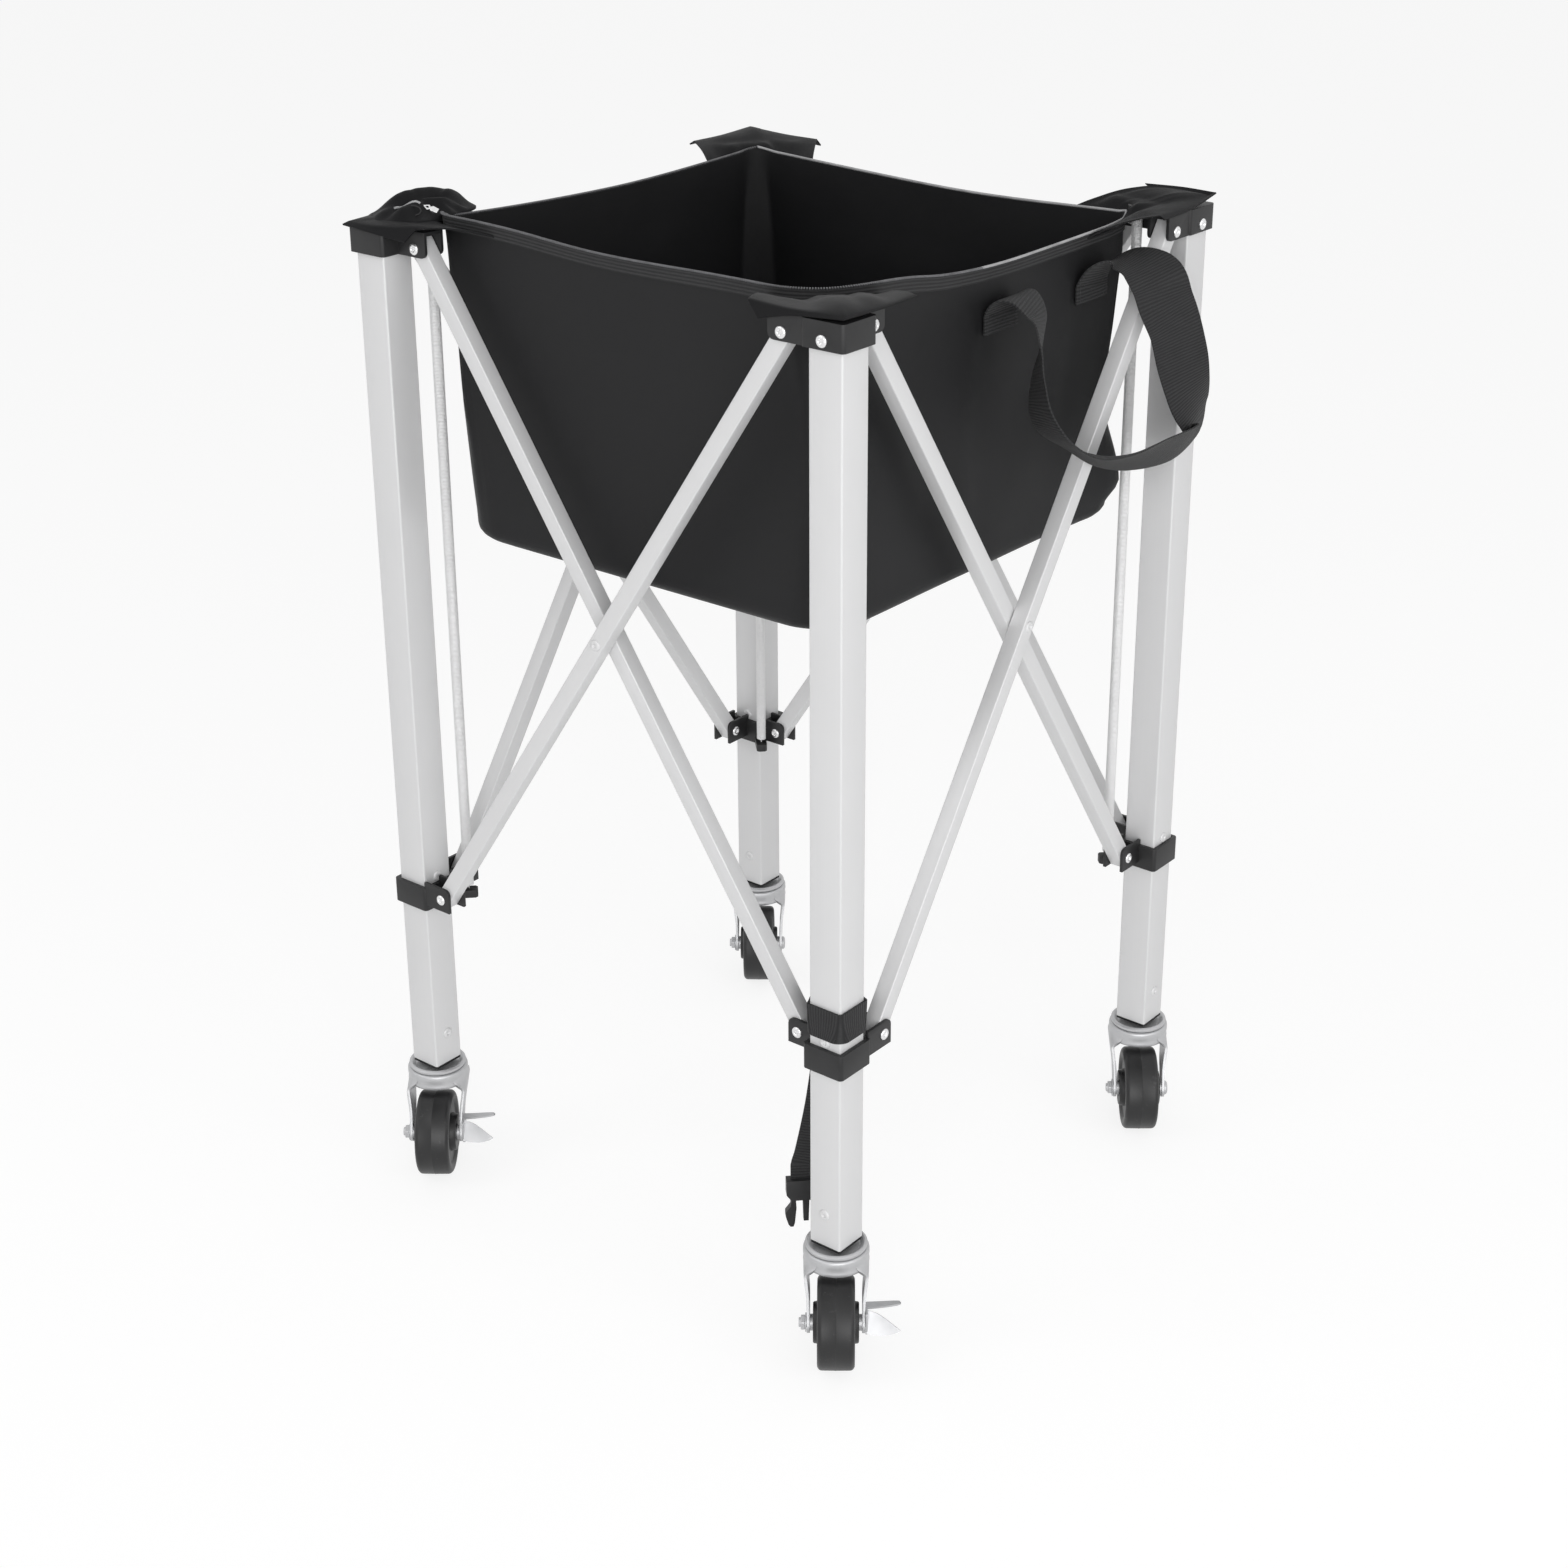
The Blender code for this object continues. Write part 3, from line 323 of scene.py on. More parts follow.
def clothFinish(name, shine):
    # Smooth coated bag cloth: a plain weave of two sets of threads under a soft sheen
    material, tree, shader = newFinish(name, cloth["color"], 0.5)
    spot = coordinates(tree, "UV")
    scale = cloth["threadsPerMetre"] * waveTurns
    weave = multiplied(tree, bands(tree, spot, "X", scale, 0.4, 1.0), bands(tree, spot, "Y", scale, 0.4, 1.0))
    place = coordinates(tree, "Object")
    haze = noiseField(tree, place, 9.0, 4.0, 0.6)
    tint = tinted(tree, summed(tree, weave, 0.35, haze, (0, 0.75)), cloth["color"], cloth["pale"])
    gloss = ranged(tree, haze, *cloth["roughness"])
    fill(tree, shader, {"Specular IOR Level": shine, "Base Color": tint, "Roughness": gloss})
    creases = noiseField(tree, place, 60.0, 5.0, 0.6)
    raised(tree, shader, summed(tree, weave, 0.25, creases, (0, 0.9)), 0.28, 0.0006)
    return material


webbing = {
    "color": (0.0055, 0.0055, 0.0060),
    "pale": (0.050, 0.050, 0.052),
    "shine": 0.3,
    "sheen": 0.05,
    "rowsPerMetre": 380.0,
    "warps": 900.0,
    "roughness": (0.6, 0.8),
}


def webbingFinish():
    # Ribbed polypropylene webbing: rows across the strap, warps along it
    material, tree, shader = newFinish("ribbedWebbing", webbing["color"], 0.7)
    spot = coordinates(tree, "UV")
    rows = bands(tree, spot, "Y", webbing["rowsPerMetre"] * waveTurns, 0.5)
    warps = bands(tree, spot, "X", webbing["warps"] * waveTurns, 0.3)
    knit = multiplied(tree, rows, ranged(tree, warps, 0.45, 1.0))
    fuzz = noiseField(tree, coordinates(tree, "Object"), 90.0, 4.0, 0.7)
    tint = tinted(tree, summed(tree, knit, 0.6, fuzz, (-0.1, 0.35)), webbing["color"], webbing["pale"])
    gloss = ranged(tree, fuzz, *webbing["roughness"])
    fill(tree, shader, {"Specular IOR Level": webbing["shine"], "Sheen Weight": webbing["sheen"]})
    fill(tree, shader, {"Base Color": tint, "Roughness": gloss})
    raised(tree, shader, knit, 0.7, 0.0006)
    return material


# Plain finishes: colour, base roughness and metal, noise, dark and pale tint, roughness range
hazy = {
    # rivets and the zip's metal
    "brightSteel": (
        ((0.80, 0.80, 0.81), 0.22, 0.8),
        (300.0, 3.0, 0.6),
        ((0.66, 0.66, 0.67), (0.90, 0.90, 0.90)),
        (0.16, 0.32),
    ),
    # pale plated wire of the springs
    "platedWire": (
        ((0.94, 0.94, 0.94), 0.36, 0.05),
        (60.0, 3.0, 0.6),
        ((0.90, 0.90, 0.905), (0.97, 0.97, 0.97)),
        (0.30, 0.42),
    ),
    "zipCoil": (
        ((0.12, 0.12, 0.125), 0.35, 0.0),
        (120.0, 3.0),
        ((0.050, 0.050, 0.054), (0.20, 0.20, 0.21)),
        (0.28, 0.45),
    ),
    "blackThread": (
        ((0.030, 0.030, 0.032), 0.6, 0.0),
        (1500.0, 2.0),
        ((0.016, 0.016, 0.017), (0.050, 0.050, 0.053)),
        None,
    ),
    # the edge binding that shows on the two right-hand sides of the rim; the same pale tone paints the
    # highlight in the lid's crease
    "paleBindingAndHighlight": (
        ((0.20, 0.20, 0.21), 0.45, 0.0),
        (70.0, 3.0),
        ((0.20, 0.20, 0.205), (0.58, 0.58, 0.59)),
        None,
    ),
}


def hazyFinish(name):
    base, grain, tints, gloss = hazy[name]
    material, tree, shader = newFinish(name, *base)
    haze = noiseField(tree, coordinates(tree, "Object"), *grain)
    fill(tree, shader, {"Base Color": tinted(tree, haze, *tints)})
    if gloss:
        fill(tree, shader, {"Roughness": ranged(tree, haze, *gloss)})
    return material


# Each kind's finish and its slot
finishes = {
    "aluminium": (aluminiumFinish(), "satin_aluminium"),
    "plastic": (plasticFinish(), "moulded_black"),
    "zinc": (zincFinish(), "zinc_plate"),
    "steel": (hazyFinish("brightSteel"), "zinc_plate"),
    "wire": (hazyFinish("platedWire"), "zinc_plate"),
    "rubber": (wheelFinish(), "wheel_black"),
    "cloth": (clothFinish("bagCloth", cloth["wallShine"]), "bag_cloth"),
    "flapCloth": (clothFinish("dullCloth", cloth["topShine"]), "bag_cloth"),
    "webbing": (webbingFinish(), "webbing"),
    "coil": (hazyFinish("zipCoil"), "webbing"),
    "thread": (hazyFinish("blackThread"), "bag_cloth"),
    # pale binding, also the painted highlight along the lid's crease
    "piping": (hazyFinish("paleBindingAndHighlight"), "bag_cloth"),
}
print("stage: finishes are mixed")


def addPiece(name, mesh, kind, body, *replaced):
    material, slot = finishes[kind]
    mesh.name = name
    mesh.materials.clear()
    mesh.materials.append(material)
    made = linkObject(name, mesh)
    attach(made, body)
    if replaced:
        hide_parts(*replaced)
    return made


def clamped(value):
    return max(0.0, min(1.0, value))


def eased(share):
    return share * share * (3 - 2 * share)


def shaded(mesh, smoothDeg):
    mesh.shade_smooth()
    mesh.set_sharp_from_angle(angle=math.radians(smoothDeg))
    return mesh


def fromBmesh(bm, name, smoothDeg=35, turnOut=True):
    if turnOut:
        bmesh.ops.recalc_face_normals(bm, faces=bm.faces)
    mesh = bpy.data.meshes.new(name)
    bm.to_mesh(mesh)
    bm.free()
    return shaded(mesh, smoothDeg)


def lengths(points):
    # The way covered at each point of a line
    reached = [0.0]
    for a, b in zip(points, points[1:]):
        reached.append(reached[-1] + (Vector(b) - Vector(a)).length)
    return reached


def addFace(bm, layer, rows, spots, uv):
    # One face through (column, row) spots of the rows
    face = bm.faces.new([rows[row][column % len(rows[row])] for column, row in spots])
    for loop, (column, row) in zip(face.loops, spots):
        loop[layer].uv = uv(column, row)


def loftMesh(rings, name, capped=True, smoothDeg=35):
    # Skin through rings of points. UV runs round each ring and along the rings, in metres
    bm = bmesh.new()
    layer = bm.loops.layers.uv.new("UVMap")
    rows = [[bm.verts.new(p) for p in ring] for ring in rings]
    around, along = lengths([*rings[0], rings[0][0]]), lengths([ring[0] for ring in rings])
    for j in range(len(rows) - 1):
        for i in range(len(rings[0])):
            spots = ((i, j), (i + 1, j), (i + 1, j + 1), (i, j + 1))
            addFace(bm, layer, rows, spots, lambda a, b: (around[a], along[b]))
    if capped:
        bm.faces.new(list(reversed(rows[0])))
        bm.faces.new(rows[-1])
    return fromBmesh(bm, name, smoothDeg)


def gridMesh(rows, name, uv):
    # An open sheet through rows of points
    bm = bmesh.new()
    layer = bm.loops.layers.uv.new("UVMap")
    grid = [[bm.verts.new(p) for p in row] for row in rows]
    for j in range(len(grid) - 1):
        for i in range(len(grid[0]) - 1):
            addFace(bm, layer, grid, ((i, j), (i, j + 1), (i + 1, j + 1), (i + 1, j)), uv)
    return fromBmesh(bm, name, 80, turnOut=False)


def planUv(bm, layer):
    for face in bm.faces:
        for loop in face.loops:
            loop[layer].uv = (loop.vert.co.x, loop.vert.co.y)


def lathe(profile, segments, name, closed=True, smoothDeg=32):
    # Turns a (radius, height) profile about Z. A closed profile makes a ring
    bm = bmesh.new()
    rows = []
    for i in range(segments):
        angle = 2 * math.pi * i / segments
        rows.append([bm.verts.new((r * math.cos(angle), r * math.sin(angle), z)) for r, z in profile])
    count = len(profile)
    last = count if closed else count - 1
    for here, there in zip(rows, rows[1:] + rows[:1]):
        for j in range(last):
            k = (j + 1) % count
            bm.faces.new((here[j], there[j], there[k], here[k]))
    if not closed:
        bm.faces.new([row[0] for row in rows])
        bm.faces.new([row[-1] for row in rows])
    return fromBmesh(bm, name, smoothDeg)


def arc(centerX, centerY, radius, startDeg, endDeg, steps):
    points = []
    for i in range(steps + 1):
        angle = math.radians(startDeg + (endDeg - startDeg) * i / steps)
        points.append((centerX + radius * math.cos(angle), centerY + radius * math.sin(angle)))
    return points


def roundedSquare(half, radius, steps):
    points = []
    for turn, (sx, sy) in enumerate(((1, 1), (-1, 1), (-1, -1), (1, -1))):
        points += arc(sx * (half - radius), sy * (half - radius), radius, 90 * turn, 90 * turn + 90, steps)
    return points


def prism(outline, low, high, name, place=lambda u, v, w: (u, v, w)):
    return loftMesh([[place(u, v, w) for u, v in outline] for w in (low, high)], name)


def joined(meshes, name):
    bm = bmesh.new()
    for mesh in meshes:
        bm.from_mesh(mesh)
    out = bpy.data.meshes.new(name)
    bm.to_mesh(out)
    bm.free()
    for mesh in meshes:
        bpy.data.meshes.remove(mesh)
    return out


def welded(mesh, name, near, smoothDeg):
    bm = bmesh.new()
    bm.from_mesh(mesh)
    bmesh.ops.remove_doubles(bm, verts=bm.verts, dist=near)
    return fromBmesh(bm, name, smoothDeg)


def copied(mesh, matrix):
    out = mesh.copy()
    out.transform(matrix)
    return out


def addChange(holder, kind, **settings):
    change = holder.modifiers.new(kind.lower(), kind)
    for key, value in settings.items():
        setattr(change, key, value)
    return change


def evaluated(holder, name):
    # The holder's mesh with its modifiers in it; the holder goes
    view = bpy.context.evaluated_depsgraph_get()
    mesh = bpy.data.meshes.new_from_object(holder.evaluated_get(view))
    mesh.name = name
    holder.modifiers.clear()
    bpy.data.objects.remove(holder)
    return mesh


def merged(meshes, holes, name, bevel, smoothDeg=38):
    # Solid pieces fused, holes cut, edges softened by a bevel
    host = linkObject("host", meshes[0])
    helpers = []
    for operation, group in (("UNION", meshes[1:]), ("DIFFERENCE", holes)):
        for mesh in group:
            helpers.append(linkObject("helper", mesh))
            addChange(host, "BOOLEAN", object=helpers[-1], operation=operation, solver="EXACT")
    host = linkObject("host", evaluated(host, name))
    for helper in helpers:
        bpy.data.objects.remove(helper)
    edges = {"limit_method": "ANGLE", "angle_limit": math.radians(40), "use_clamp_overlap": True}
    addChange(host, "BEVEL", width=bevel, segments=3, **edges)
    return shaded(evaluated(host, name), smoothDeg)


def thickened(mesh, name, thickness, offset=-1.0):
    holder = linkObject("holder", mesh)
    addChange(holder, "SOLIDIFY", thickness=thickness, offset=offset)
    return shaded(evaluated(holder, name), 60)


def smoothRoute(points, steps):
    # Points read evenly from a Catmull-Rom curve through the route's own points
    route = [Vector(p) for p in points]
    ends = [2 * route[0] - route[1], *route, 2 * route[-1] - route[-2]]
    fine = []
    for i in range(1, len(ends) - 2):
        a, b, c, d = ends[i - 1:i + 3]
        for step in range(steps):
            t = step / steps
            square = (2 * a - 5 * b + 4 * c - d) * t * t
            fine.append(0.5 * (2 * b + (c - a) * t + square + (3 * b - a - 3 * c + d) * t ** 3))
    fine.append(route[-1])
    return fine


def tubeMesh(path, radius, name, sides=8, closed=False):
    rings = []
    count = len(path)
    for i, spot in enumerate(path):
        if closed:
            ahead = (Vector(path[(i + 1) % count]) - Vector(path[i - 1])).normalized()
        else:
            ahead = (Vector(path[min(i + 1, count - 1)]) - Vector(path[max(i - 1, 0)])).normalized()
        side = ahead.cross(Vector((0, 0, 1)))
        if side.length < 0.1:
            side = ahead.cross(Vector((0, 1, 0)))
        side.normalize()
        up = side.cross(ahead)
        ring = []
        for k in range(sides):
            angle = 2 * math.pi * k / sides
            ring.append(Vector(spot) + side * radius * math.cos(angle) + up * radius * math.sin(angle))
        rings.append(ring)
    if not closed:
        return loftMesh(rings, name, smoothDeg=60)
    return welded(loftMesh([*rings, rings[0]], name, capped=False, smoothDeg=60), name, 1e-6, 60)


def newTree(name, sockets):
    # A node group with a geometry input and output, and named inputs
    tree = bpy.data.node_groups.new(name, "GeometryNodeTree")
    tree.interface.new_socket("Geometry", in_out="INPUT", socket_type="NodeSocketGeometry")
    for label, kind in sockets.items():
        tree.interface.new_socket(label, in_out="INPUT", socket_type="NodeSocket" + kind)
    tree.interface.new_socket("Geometry", in_out="OUTPUT", socket_type="NodeSocketGeometry")
    return tree, tree.nodes.new("NodeGroupInput").outputs


def treeEnd(tree, given, geometry):
    # Every tree ends in real geometry with its own material
    real = wired(tree, "GeometryNodeRealizeInstances", {0: geometry})
    painted = {"Geometry": real.outputs[0], "Material": given["Finish"]}
    wired(tree, "NodeGroupOutput", {0: wired(tree, "GeometryNodeSetMaterial", painted).outputs[0]})


def grow(tree, name, values, mesh=None):
    # Runs a tree on a mesh and gives back a plain mesh
    holder = linkObject("holder", mesh or bpy.data.meshes.new("seed"))
    change = addChange(holder, "NODES", node_group=tree)
    for item in tree.interface.items_tree:
        if item.item_type == "SOCKET" and item.in_out == "INPUT" and item.name in values:
            change[item.identifier] = values[item.name]
    return evaluated(holder, name)


def makeSpringTree():
    # A close-wound tension spring: a spiral line with a round wire on it
    sockets = {"Turns": "Float", "Radius": "Float", "Height": "Float", "Wire": "Float"}
    sockets.update({"Points per turn": "Int", "Wire sides": "Int", "Finish": "Material"})
    tree, given = newTree("tensionSpring", sockets)
    spiral = wired(
        tree,
        "GeometryNodeCurveSpiral",
        {
            "Rotations": given["Turns"],
            "Start Radius": given["Radius"],
            "End Radius": given["Radius"],
            "Height": given["Height"],
            "Resolution": given["Points per turn"],
        },
    )
    wire = {"Resolution": given["Wire sides"], "Radius": given["Wire"]}
    section = wired(tree, "GeometryNodeCurvePrimitiveCircle", wire)
    swept = {"Fill Caps": True, "Curve": spiral.outputs[0], "Profile Curve": section.outputs["Curve"]}
    sweep = wired(tree, "GeometryNodeCurveToMesh", swept)
    smooth = wired(tree, "GeometryNodeSetShadeSmooth", {"Geometry": sweep.outputs[0]})
    treeEnd(tree, given, smooth.outputs[0])
    return tree


def setOnPoints(tree, given, points, piece, turn):
    placed = {"Points": points, "Instance": piece.outputs["Geometry"], "Rotation": turn.outputs["Rotation"]}
    treeEnd(tree, given, wired(tree, "GeometryNodeInstanceOnPoints", placed).outputs[0])


def makeRivetTree():
    # Sets a rivet head on each point of a mesh, turned to the point's own facing
    tree, given = newTree("rivetHeads", {"Piece": "Object", "Finish": "Material"})
    head = wired(tree, "GeometryNodeObjectInfo", {"Object": given["Piece"]})
    facing = wired(tree, "GeometryNodeInputNamedAttribute", {"Name": "facing"}, data_type="FLOAT_VECTOR")
    aim = wired(tree, "FunctionNodeAlignRotationToVector", {"Vector": facing.outputs["Attribute"]}, axis="Z")
    setOnPoints(tree, given, given["Geometry"], head, aim)
    return tree


def makeRowTree():
    # Repeats one small piece along a line: zip teeth and stitches. Facing is the way its top looks
    sockets = {"Piece": "Object", "Spacing": "Float", "Facing": "Vector", "Finish": "Material"}
    tree, given = newTree("alongLine", sockets)
    piece = wired(tree, "GeometryNodeObjectInfo", {"Object": given["Piece"]})
    line = wired(tree, "GeometryNodeMeshToCurve", {"Mesh": given["Geometry"]})
    spaced = {"Curve": line.outputs[0], "Length": given["Spacing"]}
    even = wired(tree, "GeometryNodeResampleCurve", spaced, mode="LENGTH")
    up = wired(tree, "FunctionNodeAlignRotationToVector", {"Vector": given["Facing"]}, axis="Z")
    tangent = wired(tree, "GeometryNodeInputTangent")
    onward = {"Rotation": up.outputs["Rotation"], "Vector": tangent.outputs[0]}
    ahead = wired(tree, "FunctionNodeAlignRotationToVector", onward, axis="X", pivot_axis="Z")
    setOnPoints(tree, given, even.outputs[0], piece, ahead)
    return tree


springTree = makeSpringTree()
rivetTree = makeRivetTree()
rowTree = makeRowTree()


def growFrom(template, tree, name, kind, values, mesh):
    # Runs a tree that sets copies of the template
    helper = linkObject("template", template.copy())
    out = grow(tree, name, {"Piece": helper, "Finish": finishes[kind][0], **values}, mesh)
    bpy.data.objects.remove(helper)
    return out


def pointMesh(points):
    # Loose points that each carry the way they face
    mesh = bpy.data.meshes.new("points")
    mesh.from_pydata([p for p, _ in points], [], [])
    facing = mesh.attributes.new("facing", "FLOAT_VECTOR", "POINT")
    for item, (_, way) in zip(facing.data, points):
        item.vector = way
    return mesh


def alongLine(points, template, spacing, facing, kind, name):
    line = bpy.data.meshes.new("line")
    line.from_pydata([tuple(p) for p in points], [(i, i + 1) for i in range(len(points) - 1)], [])
    mesh = growFrom(template, rowTree, name, kind, {"Spacing": spacing, "Facing": facing}, line)
    mesh.shade_smooth()
    return mesh


# The frame's own sizes, in metres
size = {
    "legSide": 0.030,
    "legWall": 0.0015,
    "legEdge": 0.0016,
    "pinOffset": 0.037,  # from a leg's axis to its pivot pins
    "plane": 0.0075,  # from a side's middle plane to each strut of its pair
    "strutSide": 0.014,
    "strutWall": 0.0014,
    "strutEdge": 0.0010,
    "strutEnd": 0.008,
    "collar": 0.019,  # half the moulded collar's width
    "sliderHeight": 0.0215,
    "pinDrop": 0.014,  # from a bracket's top to its pins
    "pinRise": 0.0165,  # from a slider's bottom to its pins
    "stopRise": 0.0045,  # from a slider's top to the stop rivet
    "footRise": 0.029,  # from a leg's foot to its lower rivet
    "earInside": 0.0073,
    "earOutside": 0.0100,
    "clearance": 0.0003,
    "trail": 0.026,
    "casterHeadingDeg": 37.8,
    "wheelRadius": 0.0375,
    "cupGap": 0.0046,  # from the wheel to the fork's cup
    "cupHeight": 0.014,
}

legLow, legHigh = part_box("leg_front")
half = (legHigh.x + legLow.x) / 2
legFoot, legTop = legLow.z, legHigh.z
bracketFoot, bracketTop = (spot.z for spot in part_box("top_bracket_front"))
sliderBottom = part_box("slider_front")[0].z
sliderTop = sliderBottom + size["sliderHeight"]
topPin = bracketTop - size["pinDrop"]
sliderPin = sliderBottom + size["pinRise"]
stopRivet = sliderTop + size["clearance"] + size["stopRise"]
footRivet = legFoot + size["footRise"]
span = 2 * (half - size["pinOffset"])
drop = topPin - sliderPin
strutLength = math.hypot(span, drop)
openAngle = math.atan2(span, drop)
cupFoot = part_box("wheel_front")[1].z + size["cupGap"]
cupTop = cupFoot + size["cupHeight"]


def turned(degrees, axis="Z"):
    return Matrix.Rotation(math.radians(degrees), 4, axis)


def quarter(k):
    return Matrix.Rotation(k * math.pi / 2, 4, "Z")


def cornerPlace(k):
    return quarter(k) @ Matrix.Translation((half, -half, 0))


def casterPlace(k):
    return Matrix.Translation(quarter(k) @ Vector((half, -half, 0))) @ turned(size["casterHeadingDeg"])


def addCopy(name, mesh, place, kind, body, *replaced):
    return addPiece(name, copied(mesh, place), kind, body, *replaced)


def squareTube(side, wall, edge, low, high, name):
    # A drawn square tube, open at both ends, along Z
    outer = roundedSquare(side / 2, edge, 4)
    inner = roundedSquare(side / 2 - wall, max(edge - wall, 0.0002), 4)
    lip = roundedSquare(side / 2 - wall * 0.25, edge, 4)
    levels = (
        (inner, low),
        (lip, low),
        (outer, low + wall * 0.25),
        (outer, high - wall * 0.25),
        (lip, high),
        (inner, high),
        (inner, low),
    )
    rings = [[(x, y, z) for x, y in outline] for outline, z in levels]
    return welded(loftMesh(rings, name, capped=False), name, 1e-7, 30)


legTube = squareTube(size["legSide"], size["legWall"], size["legEdge"], legFoot, legTop, "leg")
strutLow = -strutLength - size["strutEnd"]
strutTube = squareTube(
    size["strutSide"], size["strutWall"], size["strutEdge"], strutLow, size["strutEnd"], "strut"
)
for k, corner in enumerate(corners):
    addCopy("legTube_" + corner, legTube, cornerPlace(k), "aluminium", corner + "_leg", "leg_" + corner)
    # The outer tube starts at this corner, the inner one at the corner before it
    for kind, owner, sign in (("outer", corner, 1), ("inner", corners[k - 1], -1)):
        pin = Matrix.Translation((sign * (half - size["pinOffset"]), -half - sign * size["plane"], topPin))
        place = quarter(k) @ pin @ Matrix.Rotation(sign * openAngle, 4, "Y")
        strut = kind + "_strut_" + owner
        addCopy(kind + "Tube_" + owner, strutTube, place, "aluminium", strut, strut)
print("stage: legs and struts")

moulding = {
    "cornerRadius": 0.0034,
    "softEdge": 0.0007,
    "sliderSoftEdge": 0.0009,
    "roof": 0.003,
    "armEnd": 0.012,
    "earEnd": 0.009,
    "earRise": 0.0055,
    "earRoot": 0.002,
    "chamfer": 0.005,
    "tabHeight": 0.007,
    "tabNear": 0.0172,  # the spring tab's ends along each side of the corner
    "tabFar": 0.0314,
    "tabHalf": 0.005,
    "tabCorner": 0.002,
    "past": 0.01,
}


def earPlates(side, plane, end, foot, top, roofed):
    # Two ear plates beside a strut. Side A runs along -X, side B along +Y
    root = size["collar"] - moulding["earRoot"]
    reach = size["pinOffset"] + end
    chamfer = moulding["chamfer"]

    def place(u, v, w):
        return (-u, -w, v) if side == "A" else (w, u, v)

    if roofed:
        cut = arc(reach - chamfer, foot + chamfer, chamfer, -90, 0, 4)
        outline = [(root, foot), *cut, (reach, top), (root, top)]
    else:
        cut = arc(reach - chamfer, top - chamfer, chamfer, 0, 90, 4)
        outline = [(root, foot), (reach, foot), *cut, (root, top)]
    near, far = size["earInside"], size["earOutside"]
    plates = [
        prism(outline, plane + near, plane + far, "ear", place),
        prism(outline, plane - far, plane - near, "ear", place),
    ]
    if roofed:
        under = top - moulding["roof"]
        roof = [(root, under), (reach, under), (reach, top), (root, top)]
        plates.append(prism(roof, plane - far, plane + far, "roof", place))
    return plates


def springTab(low, high):
    near, far = moulding["tabNear"] * math.sqrt(2), moulding["tabFar"] * math.sqrt(2)
    wide, cut = moulding["tabHalf"], moulding["tabCorner"]
    outline = [(near, -wide), (far - cut, -wide), (far, cut - wide)]
    outline += [(x, -y) for x, y in reversed(outline)]
    tab = prism(outline, low, high, "tab")
    tab.transform(turned(135))
    return tab


def mouldedMesh(name, low, high, planes, end, foot, top, tabLow, holeTop, softEdge):
    # A collar on the leg with two clevises and the spring's tab; roofed on the bracket
    roofed = name == "bracket"
    collar = prism(roundedSquare(size["collar"], moulding["cornerRadius"], 6), low, high, "collar")
    parts = [collar]
    for side, plane in zip("AB", planes):
        parts += earPlates(side, plane, end, foot, top, roofed)
    parts.append(springTab(tabLow, tabLow + moulding["tabHeight"]))
    tube = size["legSide"] / 2 + size["clearance"]
    square = [(-tube, -tube), (tube, -tube), (tube, tube), (-tube, tube)]
    return merged(parts, [prism(square, low - moulding["past"], holeTop, "hole")], name, softEdge)


plane = size["plane"]
bracket = mouldedMesh(
    "bracket",
    bracketFoot,
    bracketTop,
    (plane, -plane),
    moulding["armEnd"],
    bracketFoot,
    bracketTop,
    bracketTop - moulding["tabHeight"],
    legTop + size["clearance"],
    moulding["softEdge"],
)
earTop = sliderTop + moulding["earRise"]
slider = mouldedMesh(
    "slider",
    sliderBottom,
    sliderTop,
    (-plane, plane),
    moulding["earEnd"],
    sliderBottom + moulding["earRise"],
    earTop,
    sliderBottom,
    earTop + moulding["past"],
    moulding["sliderSoftEdge"],
)
for k, corner in enumerate(corners):
    place, leg = cornerPlace(k), corner + "_leg"
    addCopy("bracketCap_" + corner, bracket, place, "plastic", leg, "top_bracket_" + corner)
    addCopy("sliderRing_" + corner, slider, place, "plastic", "slider_" + corner, "slider_" + corner)
    plug = frame["nodes"]["leg_plug_" + corner]
    plug.data.materials.clear()
    plug.data.materials.append(finishes["plastic"][0])
print("stage: brackets and sliders")

rivet = {"radius": 0.0047, "height": 0.0019, "well": 0.0017, "segments": 28, "flush": 0.82}


def rivetHead(flatness):
    # A turned-over tubular rivet: a low dome with a well in its middle
    r, h, well = rivet["radius"], rivet["height"] * flatness, rivet["well"]
    profile = [(r * 0.96, -0.0002), (r, h * 0.25), (r * 0.97, h * 0.5), (r * 0.86, h * 0.78)]
    profile += [(r * 0.68, h * 0.95), (r * 0.52, h), (well * 1.15, h * 0.93), (well, h * 0.7)]
    profile += [(well * 0.8, h * 0.25), (0.0002, h * 0.2)]
    return lathe(profile, rivet["segments"], "rivetHead", closed=False, smoothDeg=50)


def pivotPoints(side, plane, z):
    # Both ends of a pivot rivet, with the way each looks
    near, far = plane - size["earOutside"], plane + size["earOutside"]
    pin = size["pinOffset"]
    if side == "A":
        return [((-pin, -far, z), (0, -1, 0)), ((-pin, -near, z), (0, 1, 0))]
    return [((far, pin, z), (1, 0, 0)), ((near, pin, z), (-1, 0, 0))]


def through(low, high, z):
    return [((0, low, z), (0, -1, 0)), ((0, high, z), (0, 1, 0))]


rounded, flush = rivetHead(1.0), rivetHead(rivet["flush"])


def addRivets(points, place, name, body, template, kind):
    spin = place.to_3x3()
    spots = pointMesh([(tuple(place @ Vector(p)), tuple(spin @ Vector(way))) for p, way in points])
    addPiece(name, shaded(growFrom(template, rivetTree, name, kind, {}, spots), 50), kind, body)


